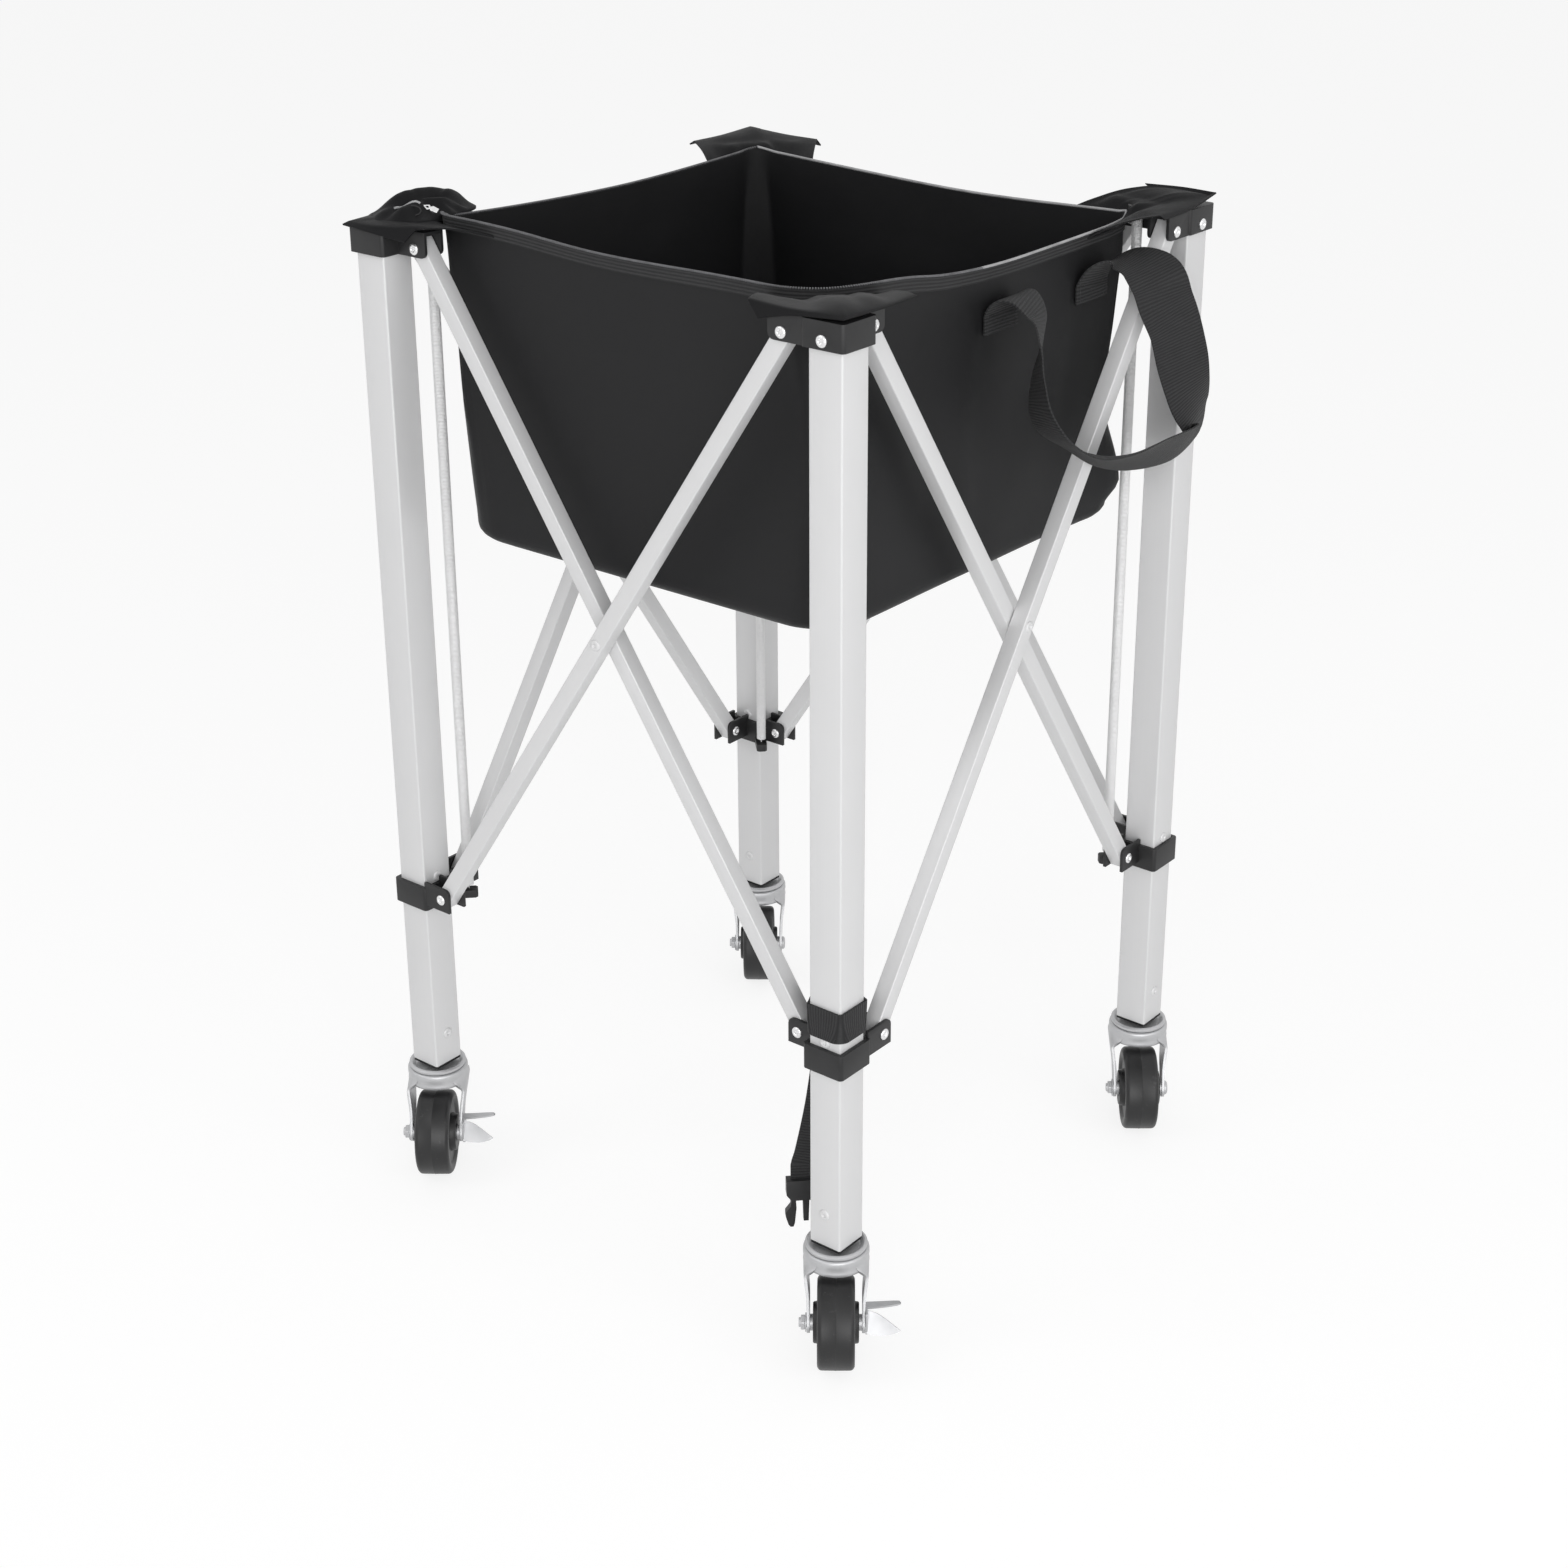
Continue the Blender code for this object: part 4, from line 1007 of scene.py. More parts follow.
for k, corner in enumerate(corners):
    place, leg, tube = cornerPlace(k), corner + "_leg", size["legSide"] / 2
    screw = [((0, -size["collar"], topPin), (0, -1, 0))]
    onBracket = screw + pivotPoints("A", plane, topPin) + pivotPoints("B", -plane, topPin)
    onTube = through(-tube, tube, stopRivet) + through(-tube, tube, footRivet)
    onSlider = pivotPoints("A", -plane, sliderPin) + pivotPoints("B", plane, sliderPin)
    addRivets(onBracket, place, "bracketRivets_" + corner, leg, rounded, "steel")
    addRivets(onTube, place, "tubeRivets_" + corner, leg, flush, "aluminium")
    addRivets(onSlider, place, "sliderRivets_" + corner, "slider_" + corner, rounded, "steel")
    outside = -half - plane - size["strutSide"] / 2
    inside = -half + plane + size["strutSide"] / 2 + size["clearance"]
    crossing = through(outside, inside, (topPin + sliderPin) / 2)
    addRivets(crossing, quarter(k), "crossingRivet_" + corner, "outer_strut_" + corner, flush, "aluminium")
print("stage: rivets")

spring = {
    "reach": 0.026,
    "outer": 0.0045,
    "wire": 0.00052,
    "pitch": 0.00118,
    "lead": 0.0034,
    "pointsPerTurn": 14,
    "wireSides": 5,
}
springFoot, springTop = (spot.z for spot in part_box("spring_front"))


def springMesh():
    lead = spring["lead"]
    coil = springTop - springFoot - 2 * lead
    mid = spring["outer"] - spring["wire"]
    values = {
        "Turns": round(coil / spring["pitch"]),
        "Radius": mid,
        "Height": coil,
        "Wire": spring["wire"],
        "Points per turn": spring["pointsPerTurn"],
        "Wire sides": spring["wireSides"],
        "Finish": finishes["wire"][0],
    }
    parts = [grow(springTree, "coil", values)]
    parts[0].transform(Matrix.Translation((0, 0, springFoot + lead)))
    for low, rise in ((springFoot, lead), (springTop, -lead)):
        hook = [(0, 0, low), (0, 0, low + rise * 0.35)]
        hook += [(mid * 0.5, 0, low + rise * 0.7), (mid, 0, low + rise)]
        parts.append(tubeMesh(smoothRoute(hook, 4), spring["wire"], "hook", 6))
    out = joined(parts, "spring")
    out.shade_smooth()
    return out


springBody = springMesh()
for k, corner in enumerate(corners):
    place = cornerPlace(k) @ Matrix.Translation((-spring["reach"], spring["reach"], 0))
    addCopy("springCoil_" + corner, springBody, place, "wire", corner + "_leg", "spring_" + corner)
print("stage: springs")

caster = {
    "headRadius": 0.0250,
    "headDrop": 0.0021,
    "headHeight": 0.0040,
    "cupRadius": 0.0265,
    "stemRadius": 0.005,
    "forkWall": 0.0025,
    "topWidth": 0.0515,
    "footWidth": 0.0465,
    "topChord": 0.042,
    "footRadius": 0.0085,
    "straight": 0.015,
    "softEdge": 0.0006,
}
wheel = {
    "width": 0.030,
    "edge": 0.0042,
    "hubWidth": 0.0366,
    "hubRadius": 0.0165,
    "bore": 0.0043,
    "dish": 0.0022,
}
pedal = {"wall": 0.0015, "reach": 0.026, "height": 0.0135, "hub": 0.0095}
# Both edges of each prong: shares of the reach, the plate's half width and its height
prongs = {
    "blade": (
        ((0.0, 0.95, 0.93), (0.35, 0.98, 0.95), (0.75, 0.98, 1.0), (0.97, 0.90, 1.04), (1.0, 0.74, 1.05)),
        ((0.0, 0.10, 0.93), (0.35, 0.20, 0.95), (0.75, 0.34, 1.0), (0.97, 0.48, 1.04), (1.0, 0.64, 1.05)),
    ),
    "fin": (
        (
            (0.0, -0.10, 0.93),
            (0.30, -0.28, 0.80),
            (0.60, -0.62, 0.50),
            (0.88, -0.94, 0.14),
            (1.0, -1.04, -0.02),
        ),
        (
            (0.0, -0.97, -0.30),
            (0.30, -1.06, -0.36),
            (0.60, -1.10, -0.34),
            (0.88, -1.10, -0.18),
            (1.0, -1.06, -0.05),
        ),
    ),
}


def headMesh():
    # The fixed raceway under the leg: a pressed dish with a rolled rim, and the stem
    top = legFoot - caster["headDrop"]
    foot = top - caster["headHeight"]
    r, stem = caster["headRadius"], caster["stemRadius"]
    dish = [(stem - 0.001, foot), (r - 0.0012, foot), (r - 0.0003, foot + 0.0005), (r, foot + 0.0013)]
    dish += [(r - 0.0001, top - 0.0012), (r - 0.0010, top - 0.0003), (r - 0.0021, top)]
    dish += [(r - 0.0033, top - 0.0004), (r - 0.0046, foot + 0.0022), (r - 0.0058, foot + 0.0012)]
    dish.append((stem - 0.001, foot + 0.0010))
    shank = lathe([(stem, cupTop - 0.004), (stem, footRivet - 0.005)], 32, "stem", closed=False)
    return joined([lathe(dish, 72, "dish"), shank], "casterHead")


def forkSide(z):
    share = eased(clamped((cupFoot - z) / (cupFoot - size["wheelRadius"] - caster["straight"])))
    return (caster["topWidth"] + (caster["footWidth"] - caster["topWidth"]) * share) / 2


def cheekMesh(sign):
    # A pressed cheek: as wide as the cup above, a round ear about the axle below
    chord, ear, axle = caster["topChord"] / 2, caster["footRadius"], size["wheelRadius"]
    shoulder, trail = cupTop - 0.003, size["trail"]
    rows = []
    steps = 22
    for i in range(steps + 1):
        z = shoulder + (axle - shoulder) * i / steps
        share = clamped((cupFoot - z) / (cupFoot - axle))
        low = -chord + (-trail - ear + chord) * share ** 1.25
        rows.append((z, low, chord + (-trail + ear - chord) * (share ** 0.85)))
    for degrees in (15, 30, 45, 60, 72, 82):
        angle = math.radians(degrees)
        reach = ear * math.cos(angle)
        rows.append((axle - ear * math.sin(angle), -trail - reach, -trail + reach))
    bm = bmesh.new()
    grid = []
    columns = 14
    for z, low, high in rows:
        bulge = 0.0006 * clamped((z - axle) / 0.02)
        # round as the cup above, flat beside the wheel
        flat = eased(clamped((cupFoot + 0.0055 - z) / 0.0085))
        line = []
        for j in range(columns + 1):
            across = j / columns
            y = low + (high - low) * across
            dome = math.sqrt(max(0.0, caster["cupRadius"] ** 2 - y * y)) - 0.0004
            out = forkSide(z) + bulge * math.sin(math.pi * across)
            line.append(bm.verts.new((sign * (dome + (out - dome) * flat), y, z)))
        grid.append(line)
    for above, below in zip(grid, grid[1:]):
        for j in range(columns):
            bm.faces.new((above[j], above[j + 1], below[j + 1], below[j]))
    mesh = fromBmesh(bm, "cheek", turnOut=False)
    if sign < 0:
        mesh.flip_normals()
    holder = linkObject("holder", mesh)
    addChange(holder, "SOLIDIFY", thickness=caster["forkWall"], offset=1.0)
    addChange(holder, "BEVEL", width=caster["softEdge"], segments=2, angle_limit=math.radians(50))
    return evaluated(holder, "cheek")


def forkMesh():
    r, wall, bore = caster["cupRadius"], caster["forkWall"], caster["stemRadius"] + size["clearance"]
    cup = [(bore, cupTop), (r - 0.0030, cupTop), *arc(r - 0.0024, cupTop - 0.0024, 0.0024, 90, 0, 6)]
    cup += [(r + 0.0001, cupTop - 0.0060), (r - 0.0006, cupTop - 0.0085), (r - 0.0001, cupFoot + 0.0032)]
    cup += [(r + 0.0001, cupFoot + 0.0015), (r - 0.0006, cupFoot), (r - wall, cupFoot)]
    cup += [(r - wall, cupTop - wall - 0.001), (r - wall - 0.001, cupTop - wall), (bore, cupTop - wall)]
    return shaded(joined([lathe(cup, 80, "cup"), cheekMesh(1), cheekMesh(-1)], "fork"), 40)


def wheelMesh():
    # A solid wheel: crowned tread with its mould line, dished sides and raised hubs
    r, side, hub = size["wheelRadius"], wheel["width"] / 2, wheel["hubWidth"] / 2
    edge, dish, boss, bore = wheel["edge"], wheel["dish"], wheel["hubRadius"], wheel["bore"]
    flank = [(r, 0.00045), (r - 0.0001, side - edge)]
    for degrees in (70, 50, 30, 12, 0):
        angle = math.radians(degrees)
        flank.append((r - edge + edge * math.sin(angle), side - edge + edge * math.cos(angle)))
    flank += [(r - edge - 0.0030, side), (r - edge - 0.0048, side - dish * 0.5)]
    flank += [(r - edge - 0.0062, side - dish), (boss + 0.0030, side - dish)]
    flank += [(boss + 0.0008, side - dish * 0.8), (boss + 0.0002, side)]
    flank += [(boss - 0.0002, hub - 0.0008), (boss - 0.0010, hub), (bore + 0.0022, hub)]
    flank += [(bore + 0.0016, hub - 0.0006), (bore, hub - 0.0006)]
    profile = [(r + 0.00025, 0.0)] + flank + [(rad, -x) for rad, x in reversed(flank)]
    mesh = lathe(profile, 96, "wheel", smoothDeg=38)
    mesh.transform(turned(90, "Y"))
    return mesh


def acrossAxle(u, v, w):
    return w, u, v


def axleMesh(stack):
    # The axle bolt with its rounded head, a hexagon nut with its washer, and two spacers
    cheek = forkSide(size["wheelRadius"])
    face, inner, hub = cheek + size["clearance"], cheek - caster["forkWall"], wheel["hubWidth"] / 2 - 0.0004
    head, nutFace = face + stack, -face - 0.0009
    shank = [(0.0002, -face - 0.0062), (0.0035, -face - 0.0062), (0.0039, -face - 0.0055), (0.0039, head)]
    dome = [(0.0063, head), (0.0065, head + 0.0008), (0.0060, head + 0.0019), (0.0046, head + 0.0027)]
    dome.append((0.0003, head + 0.0030))
    washer = [(0.0042, nutFace), (0.0075, nutFace), (0.0078, -face - 0.0006), (0.0078, -face)]
    washer.append((0.0042, -face))
    parts = [lathe(shank, 24, "shank", False), lathe(dome, 32, "dome", False, 60)]
    parts.append(lathe(washer, 32, "washer"))
    for low, high in ((hub, inner), (-inner, -hub)):
        parts.append(lathe([(0.0042, low), (0.0066, low), (0.0066, high), (0.0042, high)], 32, "spacer"))
    for part in parts:
        part.transform(turned(90, "Y"))
    hexagon = arc(0, 0, 0.0064, 30, 330, 5)
    holder = linkObject("holder", prism(hexagon, -face - 0.0044, nutFace, "nut", acrossAxle))
    addChange(holder, "BEVEL", width=0.0005, segments=2)
    parts.append(evaluated(holder, "nut"))
    return joined(parts, "axle")


def pedalMesh():
    # The brake lever: a side plate on the axle, and two prongs that splay outward
    inner = forkSide(size["wheelRadius"]) + size["clearance"]
    wall, hub, top = pedal["wall"], pedal["hub"], pedal["height"]
    cut = 0.001
    plate = arc(0, 0, hub, 180, 360, 12)
    plate += [(hub, top - cut), (hub - cut, top), (-hub + cut, top), (-hub, top - cut)]
    parts = [prism(plate, inner, inner + wall, "plate", acrossAxle)]
    start, reach, columns = inner + wall * 0.5, wall * 0.5 + pedal["reach"], 5
    for name, edges in prongs.items():
        lines = []
        for edge in edges:
            lines.append(smoothRoute([(start + reach * x, hub * y, top * z) for x, y, z in edge], 5))
        bm = bmesh.new()
        rows = [[bm.verts.new(a.lerp(b, j / columns)) for j in range(columns + 1)] for a, b in zip(*lines)]
        for low, high in zip(rows, rows[1:]):
            for j in range(columns):
                bm.faces.new((low[j], low[j + 1], high[j + 1], high[j]))
        parts.append(thickened(fromBmesh(bm, name), name, wall, 0.0))
    return joined(parts, "pedal")


headBody, forkBody, wheelBody, pedalBody = headMesh(), forkMesh(), wheelMesh(), pedalMesh()
axles = {False: axleMesh(0.0), True: axleMesh(pedal["wall"] + size["clearance"])}
for k, corner in enumerate(corners):
    braked = "brake_pedal_" + corner in frame["nodes"]
    swivel = "caster_" + corner
    hub = casterPlace(k) @ Matrix.Translation((0, -size["trail"], size["wheelRadius"]))
    addCopy("raceway_" + corner, headBody, cornerPlace(k), "zinc", corner + "_leg", "caster_head_" + corner)
    addCopy("fork_" + corner, forkBody, casterPlace(k), "zinc", swivel, "caster_fork_" + corner)
    addCopy("tyre_" + corner, wheelBody, hub, "rubber", "rolling_wheel_" + corner, "wheel_" + corner)
    addCopy("bolt_" + corner, axles[braked], hub, "zinc", swivel, "wheel_axle_" + corner)
    if braked:
        lever, node = "brake_lever_" + corner, "brake_pedal_" + corner
        addCopy("brakeLever_" + corner, pedalBody, hub, "zinc", lever, node)
print("stage: casters")

bag = {
    "half": 0.194,
    "corner": 0.028,
    "hem": 0.012,
    "hemRows": 5,
    "depth": 0.2585,
    "sag": 0.012,
    "cloth": 0.0014,
    "bulge": 0.0022,
    "rows": 44,
    "straight": 44,  # columns along a side, corners apart
    "turn": 7,  # columns in half a corner
    "keep": 0.25,
    "floorRings": 16,
    "floorSectors": 18,
    "cornerAtRim": (0.058, 0.009, 0.020, 0.016),  # front, right, back, left
    # height of each side's rim over the bracket's top, by the share along it
    "rim": (
        ((0.0, 0.0080), (0.24, 0.0055), (0.48, 0.0008), (0.79, 0.0012), (0.92, 0.0014), (1.0, 0.0016)),
        (
            (0.0, 0.0016),
            (0.07, 0.0020),
            (0.12, 0.0010),
            (0.20, -0.0025),
            (0.30, -0.0085),
            (0.42, -0.0122),
            (0.56, -0.0136),
            (0.82, -0.0122),
            (0.91, -0.0085),
            (1.0, -0.0050),
        ),
        ((0.0, -0.0050), (0.12, -0.0066), (0.50, -0.0100), (0.90, -0.0020), (1.0, 0.0010)),
        ((0.0, 0.0010), (0.20, -0.0030), (0.50, -0.0060), (0.85, 0.0020), (1.0, 0.0080)),
    ),
    # outward push of a corner by the share down: the right one bags out near its foot
    "push": (
        ((0.0, 0.0), (1.0, 0.0)),
        ((0.0, 0.0010), (0.30, 0.0), (0.62, -0.003), (0.93, 0.013), (1.0, 0.006)),
        ((0.0, 0.0), (1.0, 0.0)),
        ((0.0, 0.003), (0.4, 0.0), (1.0, 0.0)),
    ),
    # soft folds: side, where along it, width, depth, top and bottom share, lean
    "folds": (
        (0, 0.045, 0.030, 0.0030, 0.05, 0.70, 0.05),
        (0, 0.115, 0.018, -0.0014, 0.45, 1.0, -0.02),
        (0, 0.930, 0.030, 0.0024, 0.02, 0.55, -0.06),
        (0, 0.500, 0.220, -0.0022, 0.30, 1.0, 0.00),
        (1, 0.080, 0.028, 0.0026, 0.03, 0.80, 0.04),
        (1, 0.300, 0.050, -0.0016, 0.10, 0.9, 0.03),
        (1, 0.420, 0.030, 0.0014, 0.15, 0.9, 0.02),
        (1, 0.800, 0.035, -0.0022, 0.02, 0.6, -0.08),
        (1, 0.930, 0.022, 0.0034, 0.02, 0.75, -0.05),
        (2, 0.060, 0.030, 0.0026, 0.03, 0.70, 0.05),
        (2, 0.520, 0.120, -0.0018, 0.20, 1.0, 0.00),
        (2, 0.940, 0.026, 0.0024, 0.03, 0.60, -0.05),
        (3, 0.070, 0.028, 0.0024, 0.03, 0.75, 0.05),
        (3, 0.350, 0.060, -0.0016, 0.15, 0.9, 0.02),
        (3, 0.700, 0.050, 0.0016, 0.20, 0.9, -0.02),
        (3, 0.930, 0.024, 0.0030, 0.03, 0.65, -0.05),
    ),
}
rimZ = bracketTop - 0.0005
floorZ = rimZ - bag["depth"]


def readOff(knots, at):
    # A value on a smooth curve through the knots
    slopes = []
    for i in range(len(knots)):
        before, after = knots[max(i - 1, 0)], knots[min(i + 1, len(knots) - 1)]
        slopes.append((after[1] - before[1]) / (after[0] - before[0]))
    for i in range(len(knots) - 1):
        (low, a), (high, b) = knots[i], knots[i + 1]
        if at <= high:
            t, wide = (at - low) / (high - low), high - low
            curve = (2 * t ** 3 - 3 * t ** 2 + 1) * a + (t ** 3 - 2 * t ** 2 + t) * wide * slopes[i]
            return curve + (3 * t ** 2 - 2 * t ** 3) * b + (t ** 3 - t ** 2) * wide * slopes[i + 1]
    return knots[-1][1]


def sideSpots(reach, first, last):
    # Plan points of one side at -Y, from the left corner's middle to the front corner's middle
    spots = arc(-reach + first, -reach + first, first, 225, 270, bag["turn"])
    low, high = -reach + first, reach - last
    for i in range(1, bag["straight"]):
        spots.append((low + (high - low) * i / bag["straight"], -reach))
    return spots + arc(reach - last, -reach + last, last, 270, 315, bag["turn"])


def foldOffset(side, share, down):
    total = 0.0
    for where, at, width, depth, top, bottom, lean in bag["folds"]:
        if where == side:
            near = math.exp(-(((share - at - lean * down) / width) ** 2))
            total += depth * near * (clamped((down - top) / 0.12) * clamped((bottom + 0.1 - down) / 0.25))
    drift = noise.noise(Vector((share * 5 + side * 7.3, down * 3, 0.4)))
    return total + 0.0010 * drift * min(1.0, down * 6)


def wallSpot(side, column, row):
    # A point of the bag's wall. Rows run from the rim to the hem and turn under it
    rows, hem = bag["rows"], bag["hem"]
    share = column / (columns - 1)
    middle = math.sin(math.pi * share) ** 0.35
    down = min(1.0, row / rows)
    if row <= rows:
        ripple = 0.0006 * math.sin(9 * share + side) * math.sin(math.pi * share)
        top = bracketTop + (readOff(bag["rim"][side], share) + ripple) - 0.0005
        z = top + (floorZ + hem - top) * down
        reach = bag["half"] + bag["bulge"] * math.sin(math.pi * min(1.0, down * 1.05)) * 0.9
        reach += foldOffset(side, share, down) * middle
    else:
        angle = math.pi / 2 * (row - rows) / bag["hemRows"]
        z = floorZ + hem - hem * math.sin(angle)
        reach = bag["half"] - hem * (1 - math.cos(angle))
        reach += foldOffset(side, share, 1.0) * math.cos(angle) * middle
    radii = []
    for end, away in ((side - 1, share), (side, 1 - share)):
        reach += math.exp(-((away / 0.14) ** 2)) * readOff(bag["push"][end], down)
        full = readOff(((0.0, bag["cornerAtRim"][end]), (0.36, bag["corner"]), (1.0, bag["corner"])), down)
        radii.append(full + 0.012 * clamped((down - 0.6) / 0.4))
    return Vector((*sideSpots(reach, *radii)[column], z))


columns = bag["straight"] + 2 * bag["turn"] + 1
sideBodies = ("front_leg", "front_leg", "right_leg", "left_leg")
sideAxes = ((1, 0, 0), (0, 1, 0), (1, 0, 0), (0, 1, 0))
sideNames = ("frontLeft", "frontRight", "backRight", "backLeft")
frontCorner = (bag["half"], -bag["half"], bracketTop)


def addCloth(name, mesh, kind, side, *replaced):
    # Cloth of one side, on that side's body, with a mesh of its own
    piece = addPiece(name, mesh, kind, sideBodies[side], *replaced)
    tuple(sideAxes[side])
    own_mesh(piece)


footLoop = []
stepAlong, stepDown = 2 * bag["half"] / columns, bag["depth"] / bag["rows"]
for side in range(4):
    rows = []
    for row in range(bag["rows"] + bag["hemRows"] + 1):
        rows.append([quarter(side) @ wallSpot(side, column, row) for column in range(columns)])
    footLoop += rows[-1][:-1]
    wall = gridMesh(rows, "wall", lambda a, b: (a * stepAlong, b * stepDown))
    names = ("ball_bag",) if side == 0 else ()
    addCloth("bagPanel_" + sideNames[side], thickened(wall, "bagWall", bag["cloth"]), "cloth", side, *names)


def floorMesh():
    # The bag's floor: rings that shrink to the middle and sag, from the walls' own last row
    bm = bmesh.new()
    layer = bm.loops.layers.uv.new("UVMap")
    middle = Vector((0, 0, floorZ - bag["sag"]))
    rows = []
    for j in range(bag["floorRings"]):
        share = 1 - j / bag["floorRings"]
        ring = []
        for p in footLoop:
            at = Vector((p.x * share, p.y * share, middle.z + bag["sag"] * share ** 2.2))
            at.z += 0.0015 * noise.noise(Vector((p.x * share * 14, p.y * share * 14, 2.0))) * (1 - share)
            at.z += (p.z - (middle.z + bag["sag"])) * share
            ring.append(bm.verts.new(at))
        rows.append(ring)
    tip = bm.verts.new(middle)
    count = len(footLoop)
    for low, high in zip(rows, rows[1:]):
        for i in range(count):
            k = (i + 1) % count
            bm.faces.new((low[i], high[i], high[k], low[k]))
    for i in range(count):
        bm.faces.new((rows[-1][i], tip, rows[-1][(i + 1) % count]))
    planUv(bm, layer)
    return fromBmesh(bm, "bagFloor", 80, turnOut=False)


def floorSectors(mesh):
    # The floor cut into a fan of sectors about the front corner, each with the way it points from that corner
    count = bag["floorSectors"]
    step = 90 / count
    found = {}
    for polygon in mesh.polygons:
        away = Vector(polygon.center) - Vector(frontCorner)
        angle = math.degrees(math.atan2(away.y, -away.x))
        found.setdefault(min(count - 1, max(0, int(angle // step))), set()).add(polygon.index)
    for number, wanted in sorted(found.items()):
        bm = bmesh.new()
        bm.from_mesh(mesh)
        bmesh.ops.delete(bm, geom=[f for f in bm.faces if f.index not in wanted], context="FACES")
        middle = math.radians((number + 0.5) * step)
        yield fromBmesh(bm, "floorSector", 80, turnOut=False), (-math.cos(middle), math.sin(middle), 0)


floorCloth = thickened(floorMesh(), "bagFloor", bag["cloth"], 1.0)
for number, (mesh, away) in enumerate(floorSectors(floorCloth)):
    sector = addPiece("bagFloor_%02d" % number, mesh, "cloth", "front_leg")
    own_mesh(sector)
    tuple(away)
print("stage: bag")

rim = {
    "tape": 0.0009,
    "tapeDrop": 0.011,
    "tapeOut": 0.0003,
    "tapeRise": 0.0004,
    "pitch": 0.0020,
    "piping": 0.0011,
    "out": 0.0010,
    "rise": 0.0008,
    "tooth": (0.0014, 0.0036, 0.0018),  # one turn of the nylon coil: a low loop across the tape
    "toothed": ((0.0, 1.0), (0.0, 0.42), (0.0, 0.0), (0.0, 1.0)),  # where the coil shows on each side
}


def rimLine(side, out, lift, drop=0.0):
    # A line along the rim of one side, or below it on the wall, moved outward and up
    spots = []
    turn, last = bag["turn"], columns - 1
    for column in range(columns):
        here = wallSpot(side, column, drop / bag["depth"] * bag["rows"])
        bend = math.radians(45 * (max(0, column - last + turn) - max(0, turn - column)) / turn)
        away = Vector((math.sin(bend), -math.cos(bend), 0))
        spots.append(quarter(side) @ (here + away * out + Vector((0, 0, lift))))
    return spots


def beadMesh(name, sides, rings, scale):
    bm = bmesh.new()
    bmesh.ops.create_uvsphere(bm, u_segments=sides, v_segments=rings, radius=0.5)
    bmesh.ops.scale(bm, vec=scale, verts=bm.verts)
    return fromBmesh(bm, name, 80)


def tapeMesh(side):
    drop, out = rim["tapeDrop"], rim["tapeOut"]
    upper, lower = rimLine(side, out, rim["tapeRise"]), rimLine(side, out, 0.0, drop)
    rows = [[a.lerp(b, j / 4) for a, b in zip(upper, lower)] for j in range(5)]
    mesh = gridMesh(rows, "tape", lambda a, b: (a * 0.0065, b * drop / 4))
    return thickened(mesh, "tape", rim["tape"], 1.0)


tooth = beadMesh("tooth", 8, 5, rim["tooth"])
for side, name in enumerate(sideNames):
    names = ("zip_chain",) if side == 0 else ()
    addCloth("zipTape_" + name, tapeMesh(side), "webbing", side, *names)
    line = rimLine(side, rim["out"], rim["rise"])
    first, last = (int(share * len(line)) for share in rim["toothed"][side])
    toothed, bound = line[first:last + 1], line[last:]
    if len(toothed) > 2:
        mesh = alongLine(toothed, tooth, rim["pitch"], (0, 0, 1), "coil", "teeth")
        addCloth("zipTeeth_" + name, mesh, "coil", side)
    if len(bound) > 2:
        addCloth("rimPiping_" + name, tubeMesh(bound, rim["piping"], "piping"), "piping", side)
print("stage: rim")

# Corner-local points (along -X is the first side, +Y the second) with heights over the
# bracket's top: the ridge line, then the hanging edge. The inner line follows the bag.
flaps = {
    "front": (
        (
            (-0.0680, -0.0155, 0.0036),
            (-0.028, -0.0185, 0.0034),
            (0.0165, -0.0165, 0.0056),
            (0.0185, 0.026, 0.0040),
            (0.0170, 0.0640, 0.0042),
        ),
        (
            (-0.0530, -0.0222, -0.0060),
            (-0.024, -0.0210, 0.0004),
            (0.0195, -0.0195, 0.0040),
            (0.0200, 0.024, 0.0034),
            (0.0190, 0.0655, 0.0036),
        ),
    ),
    "right": (
        (
            (-0.0600, -0.0150, 0.0020),
            (-0.022, -0.0170, 0.0030),
            (0.0145, -0.0155, 0.0060),
            (0.0135, 0.010, 0.0072),
            (0.0085, 0.0380, 0.0076),
        ),
        (
            (-0.0610, -0.0200, 0.0000),
            (-0.022, -0.0210, 0.0018),
            (0.0172, -0.0205, 0.0084),
            (0.0165, 0.010, 0.0090),
            (0.0098, 0.0420, 0.0090),
        ),
    ),
    "back": (
        (
            (-0.0640, -0.0140, 0.0030),
            (-0.026, -0.0155, 0.0028),
            (0.0130, -0.0130, 0.0055),
            (0.0140, 0.026, 0.0035),
            (0.0135, 0.0640, 0.0040),
        ),
        (
            (-0.0640, -0.0200, -0.0030),
            (-0.026, -0.0195, -0.0010),
            (0.0165, -0.0165, 0.0040),
            (0.0170, 0.026, 0.0015),
            (0.0165, 0.0665, 0.0015),
        ),
    ),
    "left": (
        (
            (-0.0600, -0.0150, 0.0060),
            (-0.022, -0.0175, 0.0042),
            (0.0195, -0.0165, 0.0032),
            (0.0198, 0.014, 0.0030),
            (0.0060, 0.0440, 0.0026),
        ),
        (
            (-0.0610, -0.0195, 0.0040),
            (-0.022, -0.0205, 0.0030),
            (0.0238, -0.0192, 0.0012),
            (0.0230, 0.014, -0.0014),
            (0.0176, 0.0430, -0.0052),
        ),
    ),
}
